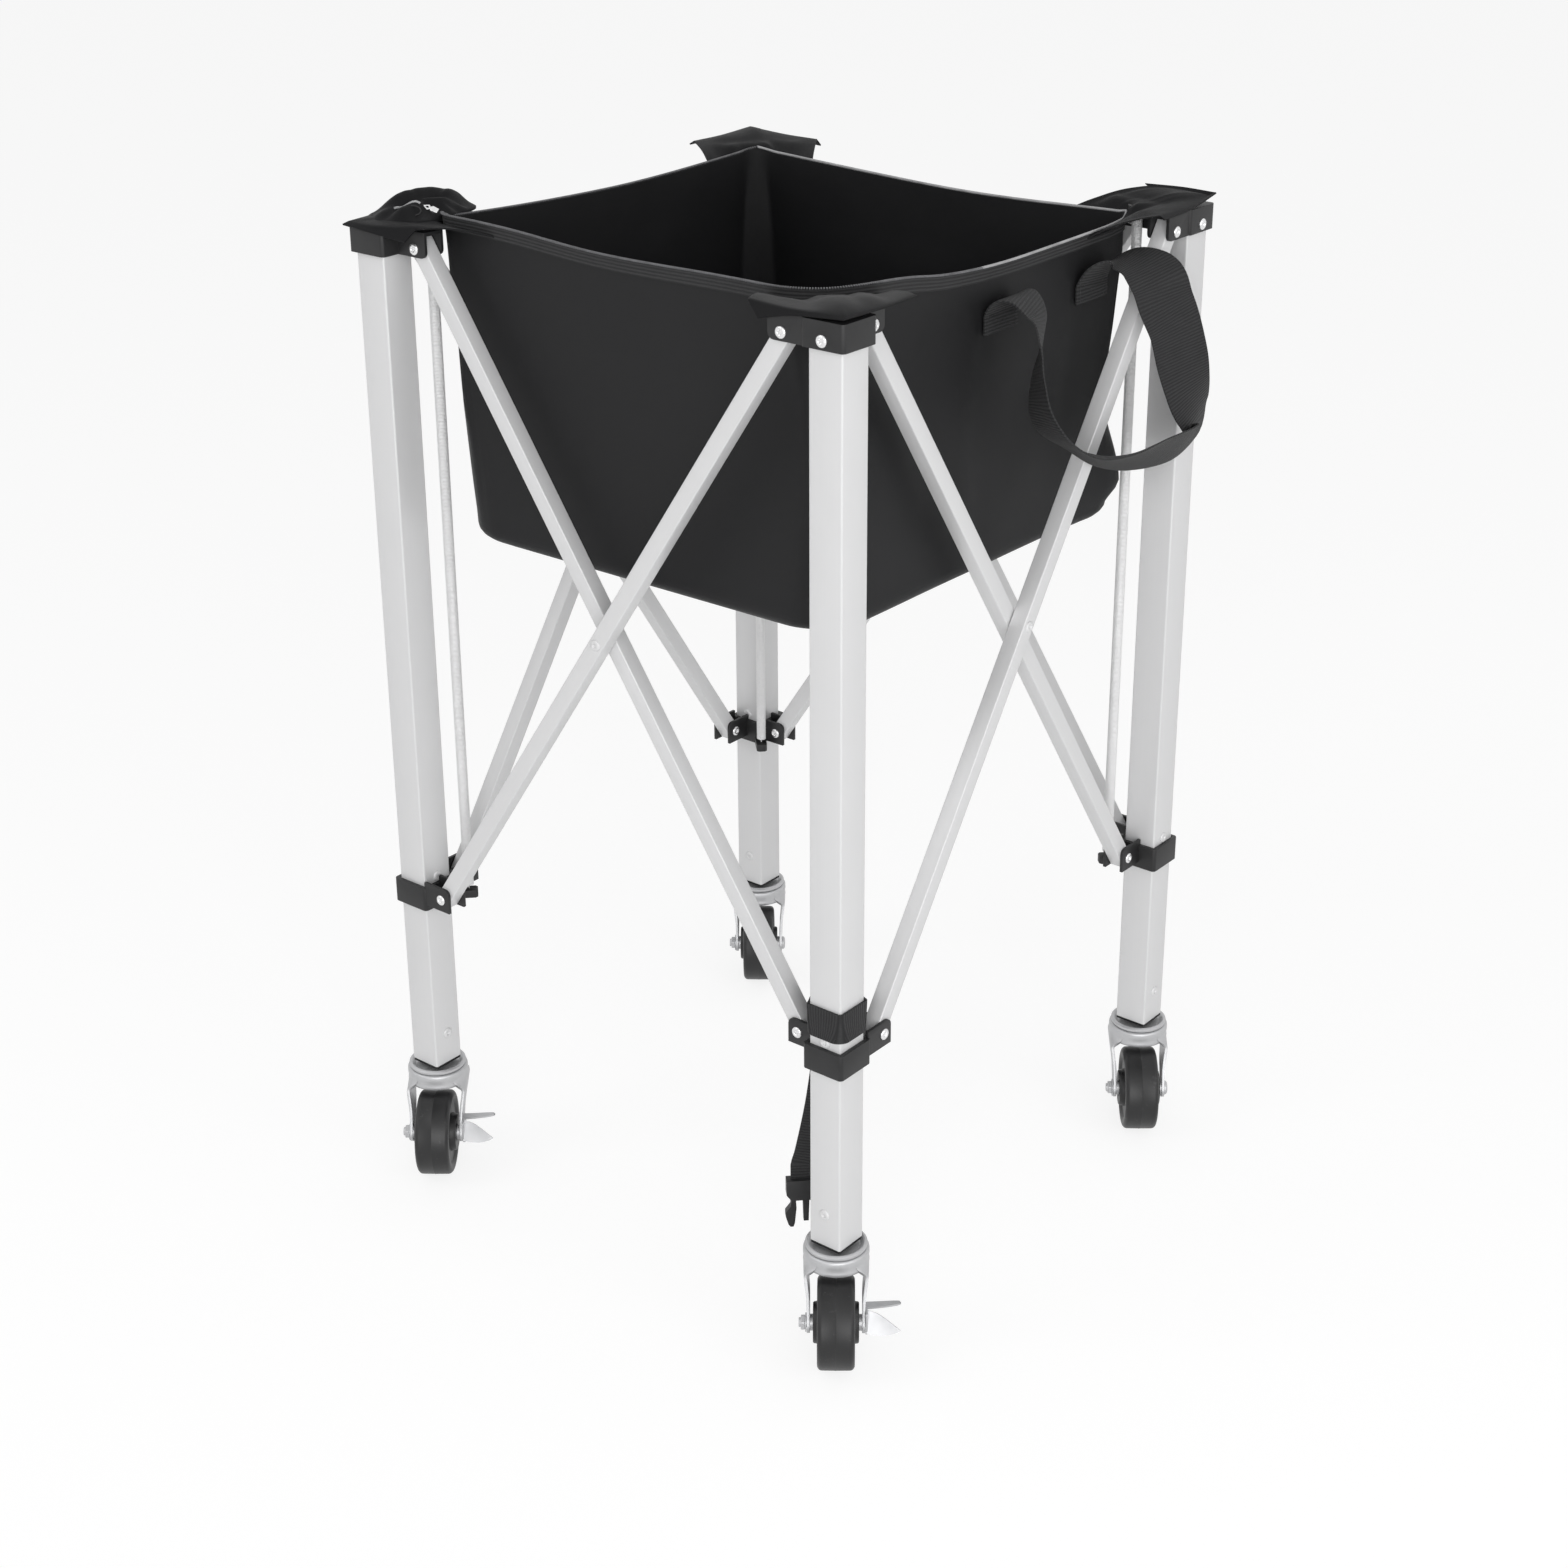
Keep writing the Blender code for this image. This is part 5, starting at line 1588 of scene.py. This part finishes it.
flap = {
    "cloth": 0.0012,
    "along": 15,
    "across": 12,
    "turnUnder": 3,  # rows from the ridge to the hanging edge
    "spread": 6.6,  # in points along, how far a rise carries on
    "seamDrop": (0.0085, 0.0035, 0.0085, 0.0085),
    "seamOut": 0.0012,
    "seamReach": 0.094,  # how far along each side the flap is sewn, from the leg's middle
    "lugReach": 0.0450,
    "lugHalf": 0.0058,
    "crown": 0.0030,
    "mostCrown": 0.0075,
    "over": 0.0022,  # the least height over the bracket's top
    "overFade": 0.009,
    "stitch": 0.0030,
    "stitchIn": 0.10,  # share of the way from the ridge to the seam
    "stitchLift": 0.0008,
    "thread": (0.0021, 0.0005, 0.0005),
}
# The bracket in plan: its cap and two arms
bracketPlan = ((-0.0195, 0.0195, -0.0195, 0.0195), (-0.0495, 0, -0.018, 0.003), (-0.018, 0.003, 0, 0.0495))


def evenly(points, count):
    # The same line with its points evenly spread
    route = [Vector(p) for p in points]
    reached = lengths(route)
    spread, j = [], 0
    for i in range(count):
        at = reached[-1] * i / (count - 1)
        while j < len(route) - 2 and reached[j + 1] < at:
            j += 1
        t = (at - reached[j]) / (reached[j + 1] - reached[j])
        spread.append(route[j].lerp(route[j + 1], min(1.0, t)))
    return spread


def fromBracket(p):
    # How far a corner-local point is, in plan, from the bracket's cap, its arms and its spring lug
    nearest = 1.0
    for lowX, highX, lowY, highY in bracketPlan:
        nearest = min(nearest, math.hypot(max(lowX - p.x, 0, p.x - highX), max(lowY - p.y, 0, p.y - highY)))
    inward, beside = (p.y - p.x) / math.sqrt(2), abs(p.x + p.y) / math.sqrt(2)
    past = max(-inward, 0, inward - flap["lugReach"])
    return min(nearest, math.hypot(past, max(beside - flap["lugHalf"], 0)))


def flapLines(k):
    # The flap's three lines: the seam on the bag, the ridge, and the hanging edge
    lines = []
    for row in flaps[corners[k]]:
        lines.append(smoothRoute(row[:3], flap["along"])[:-1] + smoothRoute(row[2:], flap["along"]))
    low, far, home = flap["seamDrop"][k], flap["seamReach"], cornerPlace(k).inverted()
    whole = rimLine(k, flap["seamOut"], 0.0, low) + rimLine((k + 1) % 4, flap["seamOut"], 0.0, low)[1:]
    seam = [home @ p - Vector((0, 0, bracketTop)) for p in whole]
    seam = [p for p in seam if p.x > -far and p.y < far]
    return [evenly(seam, len(lines[0])), *lines]


def flapCrown(inner, ridge):
    # How high each cross line arches, so that the cloth clears the bracket in one smooth rise
    needed = []
    for a, b in zip(inner, ridge):
        most = flap["crown"]
        for step in range(5, 17):
            t = step / 20
            p = a.lerp(b, t)
            if fromBracket(p) == 0:
                most = max(most, (flap["over"] - p.z) / (4 * t * (1 - t)))
        needed.append(min(most, flap["mostCrown"]))
    count = len(needed)
    crown = []
    for i in range(count):
        crown.append(max(needed[j] * math.exp(-(((i - j) / flap["spread"]) ** 2)) for j in range(count)))
    for _ in range(3):
        before, after = [crown[0]] + crown[:-1], crown[1:] + [crown[-1]]
        crown = [(a + 2 * b + c) / 4 for a, b, c in zip(before, crown, after)]
    return crown


def flapMesh(k, inner, ridge, edge):
    rows = []
    crown = flapCrown(inner, ridge)
    for j in range(flap["across"] + 1):
        t = j / flap["across"]
        line = [a.lerp(b, t) for a, b in zip(inner, ridge)]
        for i, p in enumerate(line):
            drape = 0.0006 * math.sin(i * 0.19 + 1.6 * t + k)
            drape += 0.0007 * noise.noise(Vector((p.x * 45, p.y * 45, k)))
            p.z += crown[i] * 4 * t * (1 - t) + drape * math.sin(math.pi * t)
            near = math.exp(-((fromBracket(p) / flap["overFade"]) ** 2))
            p.z += max(0.0, flap["over"] - p.z) * near * eased(min(1.0, t / 0.12))
        rows.append(line)
    for j in range(1, flap["turnUnder"] + 1):
        rows.append([a.lerp(b, j / flap["turnUnder"]) for a, b in zip(ridge, edge)])
    rows = [[(p.x, p.y, p.z + bracketTop) for p in line] for line in rows]
    mesh = gridMesh(rows, "flap", lambda a, b: (a * 0.0042, b * 0.005))
    return thickened(mesh, "flap", flap["cloth"], 0.0)


stitch = beadMesh("stitch", 6, 4, flap["thread"])
for k, corner in enumerate(corners):
    inner, ridge, edge = flapLines(k)
    mesh = flapMesh(k, inner, ridge, edge)
    leg, node = corner + "_leg", "corner_flap_" + corner
    addCopy("flapSheet_" + corner, mesh, cornerPlace(k), "flapCloth", leg, node)
    lift = Vector((0, 0, bracketTop + flap["stitchLift"]))
    seam = [cornerPlace(k) @ (a.lerp(b, flap["stitchIn"]) + lift) for a, b in zip(ridge, inner)]
    mesh = alongLine(seam, stitch, flap["stitch"], (0, 0, 1), "thread", "flapStitches")
    addPiece("flapStitches_" + corner, mesh, "thread", leg)
print("stage: corner flaps")

handle = {
    "width": 0.045,
    "thick": 0.0018,
    "fine": 8,
    "columns": 10,
    "cup": 0.0006,
    "ends": (0.140, 0.012),  # where along the side each end is sewn
    "stitched": (0.050, 0.064),  # how far below the rim the box stitching starts and ends
    "stitchOut": 0.0045,
    "stitchIn": 0.004,
    "stitch": 0.0028,
}
# Distance out from the bag's side, along it and below the rim, then the way of the width
handleRoute = (
    (0.0000, 0.140, 0.066, (0.0, 1.0, 0.0)),
    (0.0030, 0.140, 0.052, (0.0, 1.0, 0.0)),
    (0.0110, 0.142, 0.038, (0.0, 1.0, 0.0)),
    (0.0260, 0.149, 0.031, (0.4, 0.9, 0.2)),
    (0.0470, 0.147, 0.032, (0.5, 0.8, 0.2)),
    (0.0640, 0.141, 0.042, (0.6, 0.7, 0.4)),
    (0.0700, 0.143, 0.058, (0.6, 0.7, 0.4)),
    (0.0740, 0.153, 0.080, (0.5, 0.8, 0.3)),
    (0.0770, 0.162, 0.108, (0.5, 0.8, 0.2)),
    (0.0790, 0.170, 0.132, (0.3, 0.9, 0.15)),
    (0.0790, 0.181, 0.154, (0.0, 0.9, 0.05)),
    (0.0790, 0.184, 0.169, (-0.3, 0.8, -0.35)),
    (0.0780, 0.168, 0.178, (-0.6, 0.2, -0.8)),
    (0.0750, 0.119, 0.176, (-0.7, 0.1, -0.7)),
    (0.0720, 0.074, 0.169, (-0.9, 0.1, -0.4)),
    (0.0640, 0.040, 0.157, (-1.0, 0.2, 0.0)),
    (0.0560, 0.014, 0.140, (-0.9, 0.3, 0.0)),
    (0.0480, 0.004, 0.118, (-0.8, 0.5, -0.1)),
    (0.0420, 0.008, 0.094, (-0.7, 0.7, -0.1)),
    (0.0380, 0.016, 0.071, (-0.5, 0.8, 0.0)),
    (0.0330, 0.020, 0.051, (-0.4, 0.9, 0.1)),
    (0.0230, 0.016, 0.037, (-0.2, 1.0, 0.0)),
    (0.0110, 0.012, 0.038, (0.0, 1.0, 0.0)),
    (0.0030, 0.012, 0.050, (0.0, 1.0, 0.0)),
    (0.0000, 0.012, 0.064, (0.0, 1.0, 0.0)),
)


def ribbonMesh(route, across, width, thickness, name, columns=8, cup=0.0):
    # Flat webbing along a route, with selvages and a slight hollow. UV runs across and along
    bm = bmesh.new()
    layer = bm.loops.layers.uv.new("UVMap")
    along = lengths(route)
    section = []
    for j in range(columns + 1):
        u = j / columns - 0.5
        section.append((u, 0.5 * (1 - 0.35 * max(0.0, (abs(u) - 0.40) / 0.10))))
    section += [(u, -v) for u, v in reversed(section)]
    rings = []
    for i, spot in enumerate(route):
        ahead = (route[min(i + 1, len(route) - 1)] - route[max(i - 1, 0)]).normalized()
        wide = (across[i] - ahead * across[i].dot(ahead)).normalized()
        thick = ahead.cross(wide)
        ring = []
        for u, v in section:
            hollow = cup * (4 * u * u - 0.5)
            ring.append(bm.verts.new(spot + wide * width * u + thick * (v * thickness + hollow)))
        rings.append(ring)
    count = len(section)
    for i in range(len(rings) - 1):
        for j in range(count):
            spots = ((j, i), (j + 1, i), (j + 1, i + 1), (j, i + 1))
            addFace(bm, layer, rings, spots, lambda a, b: (section[a % count][0] * width, along[b]))
    bm.faces.new(list(reversed(rings[0])))
    bm.faces.new(rings[-1])
    return fromBmesh(bm, name, 60)


def handleMesh(hand, shift):
    points = [(bag["half"] + out, along + shift, rimZ - down) for out, along, down, _ in handleRoute]
    route = smoothRoute(points, handle["fine"])
    for spot in route:
        bulge = 0.002 * (rimZ - spot.z) / (bag["depth"] / 2)
        spot.x = hand * max(spot.x, bag["half"] + bulge + handle["thick"] / 2 + 0.0016)
    across = smoothRoute([(hand * x, y, z) for _, _, _, (x, y, z) in handleRoute], handle["fine"])
    sizes = (handle["width"], handle["thick"], "handle", handle["columns"], handle["cup"])
    return ribbonMesh(route, across, *sizes)


def handleStitches(hand, shift):
    # Box stitching where each end is sewn to the bag
    parts = []
    wide, x = handle["width"] / 2 - handle["stitchIn"], hand * (bag["half"] + handle["stitchOut"])
    top, foot = (rimZ - down for down in handle["stitched"])
    for end in handle["ends"]:
        near, far = end + shift - wide, end + shift + wide
        a, b, c, d = (x, near, top), (x, far, top), (x, far, foot), (x, near, foot)
        for line in ([a, b, c, d, a], [a, c], [b, d]):
            parts.append(alongLine(line, stitch, handle["stitch"], (hand, 0, 0), "thread", "row"))
    return joined(parts, "handleStitches")


# The left handle stands 12 mm off its twin's place, clear of the strut
for name, hand, shift, side in (("right", 1, 0.0, 1), ("left", -1, -0.012, 3)):
    addCloth("webbingHandle_" + name, handleMesh(hand, shift), "webbing", side, "handle_" + name)
    addCloth("handleStitches_" + name, handleStitches(hand, shift), "thread", side)
print("stage: handles")

tie = {
    "width": 0.025,
    "thick": 0.0018,
    "rise": 0.0095,
    "slack": 0.0007,
    "reach": 0.0325,
    "flare": 0.0016,
    "rows": 8,
}
buckle = {"length": 0.044, "width": 0.034, "depth": 0.009, "footZ": 0.079, "softEdge": 0.0009}
# The buckle's outlines in shares of its half width and its length
buckleBody = ((-0.95, 0), (-0.95, 0.30), (-0.72, 0.42), (0.72, 0.42), (0.95, 0.30), (0.95, 0))
buckleGuide = ((-0.16, 0.40), (-0.12, 0.90), (0.12, 0.90), (0.16, 0.40))
buckleArm = (
    (0.50, 0.40),
    (0.72, 0.40),
    (0.74, 0.56),
    (0.99, 0.69),
    (0.99, 0.78),
    (0.86, 0.95),
    (0.76, 1.0),
    (0.62, 1.0),
    (0.55, 0.92),
    (0.47, 0.60),
)


def bandMesh():
    # The band round the front leg: snug at its upper edge, rounder and looser at its lower
    edge, gap, rows = 0.0015, tie["slack"] + tie["thick"] / 2, tie["rows"]
    ends, reach = tie["width"] / 6, tie["reach"]
    lines = []
    for j in range(rows + 1):
        low = j / rows
        radius = edge + gap + 0.007 * low ** 2
        centre = size["legSide"] / 2 + gap + tie["flare"] * low ** 2 - radius
        line = [(-reach - ends, reach - ends)]
        for start, x, y in ((180, -1, -1), (270, 1, -1), (0, 1, 1)):
            line += arc(x * centre, y * centre, radius, start, start + 90, 7)
        line.append((-reach + ends, reach + ends))
        z = sliderTop + tie["rise"] + tie["width"] * (1 - low)
        lines.append([cornerPlace(0) @ p for p in smoothRoute([(x, y, z) for x, y in line], 2)])
    along = lengths(lines[0])
    mesh = gridMesh(lines, "band", lambda a, b: (b * tie["width"] / rows, along[a]))
    return thickened(mesh, "band", tie["thick"], 0.0)


def tailPoints():
    behind = (tie["thick"] + size["clearance"]) / math.sqrt(2)
    joint = cornerPlace(0) @ Vector((-tie["reach"] - behind, tie["reach"] + behind, 0))
    top = sliderTop + tie["rise"] + tie["width"]
    foot = buckle["footZ"] + buckle["length"]
    route = []
    for share, swingX, swingY in ((0, 0, 0), (0.3, 0, 0), (0.6, -0.006, -0.002), (0.85, -0.013, -0.007)):
        route.append(joint + Vector((swingX, swingY, top + (foot - top) * share)))
    route.append(joint + Vector((-0.016, -0.010, foot + tie["width"] / 2)))
    tail = smoothRoute(route, 8)
    tail.append(Vector((tail[-1].x, tail[-1].y, foot + size["clearance"])))
    return tail


def buckleMesh(at):
    # The prong half of a side-release buckle: strap bar, body, two spring arms and a guide
    wide, tall, deep = buckle["width"] / 2, buckle["length"], buckle["depth"] / 2

    def part(outline, low, high, name):
        return prism([(wide * u, -tall * v) for u, v in outline], low, high, name, lambda u, v, w: (u, w, v))

    parts = [part(buckleBody, -deep, deep, "body")]
    parts.append(part(buckleArm[::-1], -deep * 0.72, deep * 0.72, "arm"))
    parts.append(part([(-u, v) for u, v in buckleArm], -deep * 0.72, deep * 0.72, "arm"))
    parts.append(part(buckleGuide, -deep * 0.5, deep * 0.5, "guide"))
    slots = []
    for near, far in ((0.06, 0.12), (0.19, 0.25)):
        slot = ((-0.74, far), (0.74, far), (0.74, near), (-0.74, near))
        slots.append(part(slot, deep * 0.55, deep * 2, "slot"))
    mesh = merged(parts, slots, "buckle", buckle["softEdge"])
    mesh.transform(Matrix.Translation(at) @ turned(45))
    return mesh


tail = tailPoints()
slant = Vector((1, 1, 0)).normalized()
tailCloth = ribbonMesh(tail, [slant] * len(tail), tie["width"], tie["thick"], "tail")
buckleTop = (tail[-1].x, tail[-1].y, buckle["footZ"] + buckle["length"])
addPiece("tieBand", bandMesh(), "webbing", "front_leg", "tie_strap")
addPiece("tieTail", tailCloth, "webbing", "front_leg", "strap_tail")
addPiece("prongBuckle", buckleMesh(buckleTop), "plastic", "front_leg", "buckle_half")
print("stage: tie strap and buckle")

lid = {
    "middle": (-0.0360, 0.0040),  # corner-local
    "long": 0.047,
    "wide": 0.029,
    "turnDeg": -6,
    "base": 0.0030,
    "foot": 0.0014,
    "height": 0.0180,
    "rings": 30,
    "round": 84,
    # soft rolls: place along and across, way in degrees, half length, half width, share of the height
    "rolls": (
        (0.006, -0.006, 4, 0.037, 0.0120, 1.00),
        (-0.016, 0.010, -12, 0.021, 0.0080, 0.60),
        (0.010, 0.010, 20, 0.016, 0.0070, 0.66),
        (0.031, 0.002, -22, 0.017, 0.0090, 0.92),
        (-0.032, -0.002, 18, 0.015, 0.0090, 0.45),
        (0.013, 0.021, 78, 0.012, 0.0050, 0.44),
        (0.025, 0.016, 50, 0.012, 0.0050, 0.40),
        (0.000, 0.022, 105, 0.009, 0.0045, 0.34),
    ),
    # radius and lift of the pale tube that paints the highlight in the heap's crease
    "paleHighlightBinding": 0.0010,
    "paleHighlightBindingLift": 0.0005,
}


def lidPoint(along, across, share):
    # The point of the heap over a plan place: soft rolls that meet in creases and die out at its foot
    total = 0.0
    for u, v, deg, long, wide, rise in lid["rolls"]:
        c, d = math.cos(math.radians(deg)), math.sin(math.radians(deg))
        p, q = (along - u) * c + (across - v) * d, -(along - u) * d + (across - v) * c
        total += (rise * math.exp(-((p / long) ** 4)) * math.exp(-((q / wide) ** 2))) ** 5
    wrinkle = 0.035 * noise.noise(Vector((along * 130, across * 60, 3.0)))
    height = max(0.0, 1 - share ** 3.2) ** 0.62 * (0.14 + 0.88 * total ** 0.2 + wrinkle)
    turn, (middleX, middleY) = math.radians(lid["turnDeg"]), lid["middle"]
    x = -along * math.cos(turn) - across * math.sin(turn)
    y = -along * math.sin(turn) + across * math.cos(turn)
    return Vector((middleX + x, middleY + y, bracketTop + lid["base"] + lid["height"] * height))


def lidMesh():
    # The unzipped lid, pushed together in a soft heap on the left corner
    bm = bmesh.new()
    layer = bm.loops.layers.uv.new("UVMap")
    rows = []
    count = lid["round"]
    for j in range(1, lid["rings"] + 1):
        share = j / lid["rings"]
        ring = []
        for i in range(count):
            angle = 2 * math.pi * i / count
            edge = 1 + (0.06 * math.sin(3 * angle + 0.8) + 0.04 * math.sin(5 * angle)) * share
            along = lid["long"] * share * edge * math.cos(angle)
            across = lid["wide"] * share * edge * math.sin(angle)
            ring.append(bm.verts.new(lidPoint(along, across, share)))
        rows.append(ring)
    top = bm.verts.new(lidPoint(0.0, 0.0, 0.0))
    rows.append([bm.verts.new((v.co.x, v.co.y, bracketTop + lid["foot"])) for v in rows[-1]])
    for inner, outer in zip(rows, rows[1:]):
        for i in range(count):
            bm.faces.new((inner[i], outer[i], outer[(i + 1) % count], inner[(i + 1) % count]))
    for i in range(count):
        bm.faces.new((top, rows[0][i], rows[0][(i + 1) % count]))
    bm.faces.new(rows[-1])
    planUv(bm, layer)
    return fromBmesh(bm, "lid", 70)


def creaseHighlightBindingMesh():
    # A pale tube along the heap's crease: the lid's binding, made pale as a painted highlight along the fold
    line = []
    for i in range(9):
        along, across = -0.026 + 0.0024 * i, 0.0030 + 0.0080 * (i / 8) ** 2
        share = min(1.0, math.hypot(along / lid["long"], across / lid["wide"]))
        line.append(lidPoint(along, across, share) + Vector((0, 0, lid["paleHighlightBindingLift"])))
    return tubeMesh(line, lid["paleHighlightBinding"], "paleHighlightBinding")


pullRing = {
    "middle": (-0.0165, 0.0165, 0.0098),
    "longWay": (-0.619, 0.785, 0),
    "shortWay": (-0.54, -0.43, 0.72),
    "long": 0.0072,
    "wide": 0.0046,
    "wire": 0.0005,
    "points": 40,
}


def ringMesh():
    # The thin black ring of the zip pull, leaning on the heap
    middle = Vector(pullRing["middle"]) + Vector((0, 0, bracketTop))
    points = []
    for i in range(pullRing["points"]):
        angle = 2 * math.pi * i / pullRing["points"]
        spot = middle + Vector(pullRing["longWay"]) * pullRing["long"] * math.cos(angle)
        points.append(spot + Vector(pullRing["shortWay"]) * pullRing["wide"] * math.sin(angle))
    return tubeMesh(points, pullRing["wire"], "pullRing", closed=True)


addCopy("lidFolds", lidMesh(), cornerPlace(3), "flapCloth", "left_leg", "lid_roll")
addCopy("pullRing", ringMesh(), cornerPlace(3), "plastic", "left_leg")
# the pale tube in the crease is a painted highlight along the fold
addCopy("lidBinding", creaseHighlightBindingMesh(), cornerPlace(3), "piping", "left_leg")
pull = {"place": (-0.1965, -0.1975, 0.0095), "leanDeg": ((205, "Z"), (-20, "Y"), (-38, "X")), "scale": 0.74}
pullSlab = [(-0.004, -0.0028), (0.003, -0.0034), (0.0048, -0.0018)]
pullSlab += [(x, -y) for x, y in reversed(pullSlab)]
pullDiamond = ((0.0030, 0), (0.0075, -0.0034), (0.0132, 0), (0.0075, 0.0034))


def pullMesh():
    # The zip's slider with its diamond puller, lying on the rim by the left corner
    body = merged([prism(pullSlab, 0, 0.0030, "slab")], [], "slab", 0.0006)
    eye = prism([(x * 0.5 + 0.0045, y * 0.45) for x, y in pullDiamond], 0, 0.004, "eye")
    plate = merged([prism(pullDiamond, 0.0012, 0.0022, "diamond")], [eye], "diamond", 0.0002)
    out = joined([body, plate], "pull")
    lean = Matrix.Translation(Vector(pull["place"]) + Vector((0, 0, bracketTop)))
    for degrees, axis in pull["leanDeg"]:
        lean = lean @ turned(degrees, axis)
    out.transform(lean @ Matrix.Scale(pull["scale"], 4))
    return out


addPiece("zipPull", pullMesh(), "steel", "left_leg")
print("stage: lid and pull")

made = bpy.data.objects

shown = [o.data for o in made if o.type == "MESH" and not o.hide_render and "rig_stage" not in o]
print("stage: done,", len(shown), "visible meshes,", sum(len(mesh.polygons) for mesh in shown), "faces")
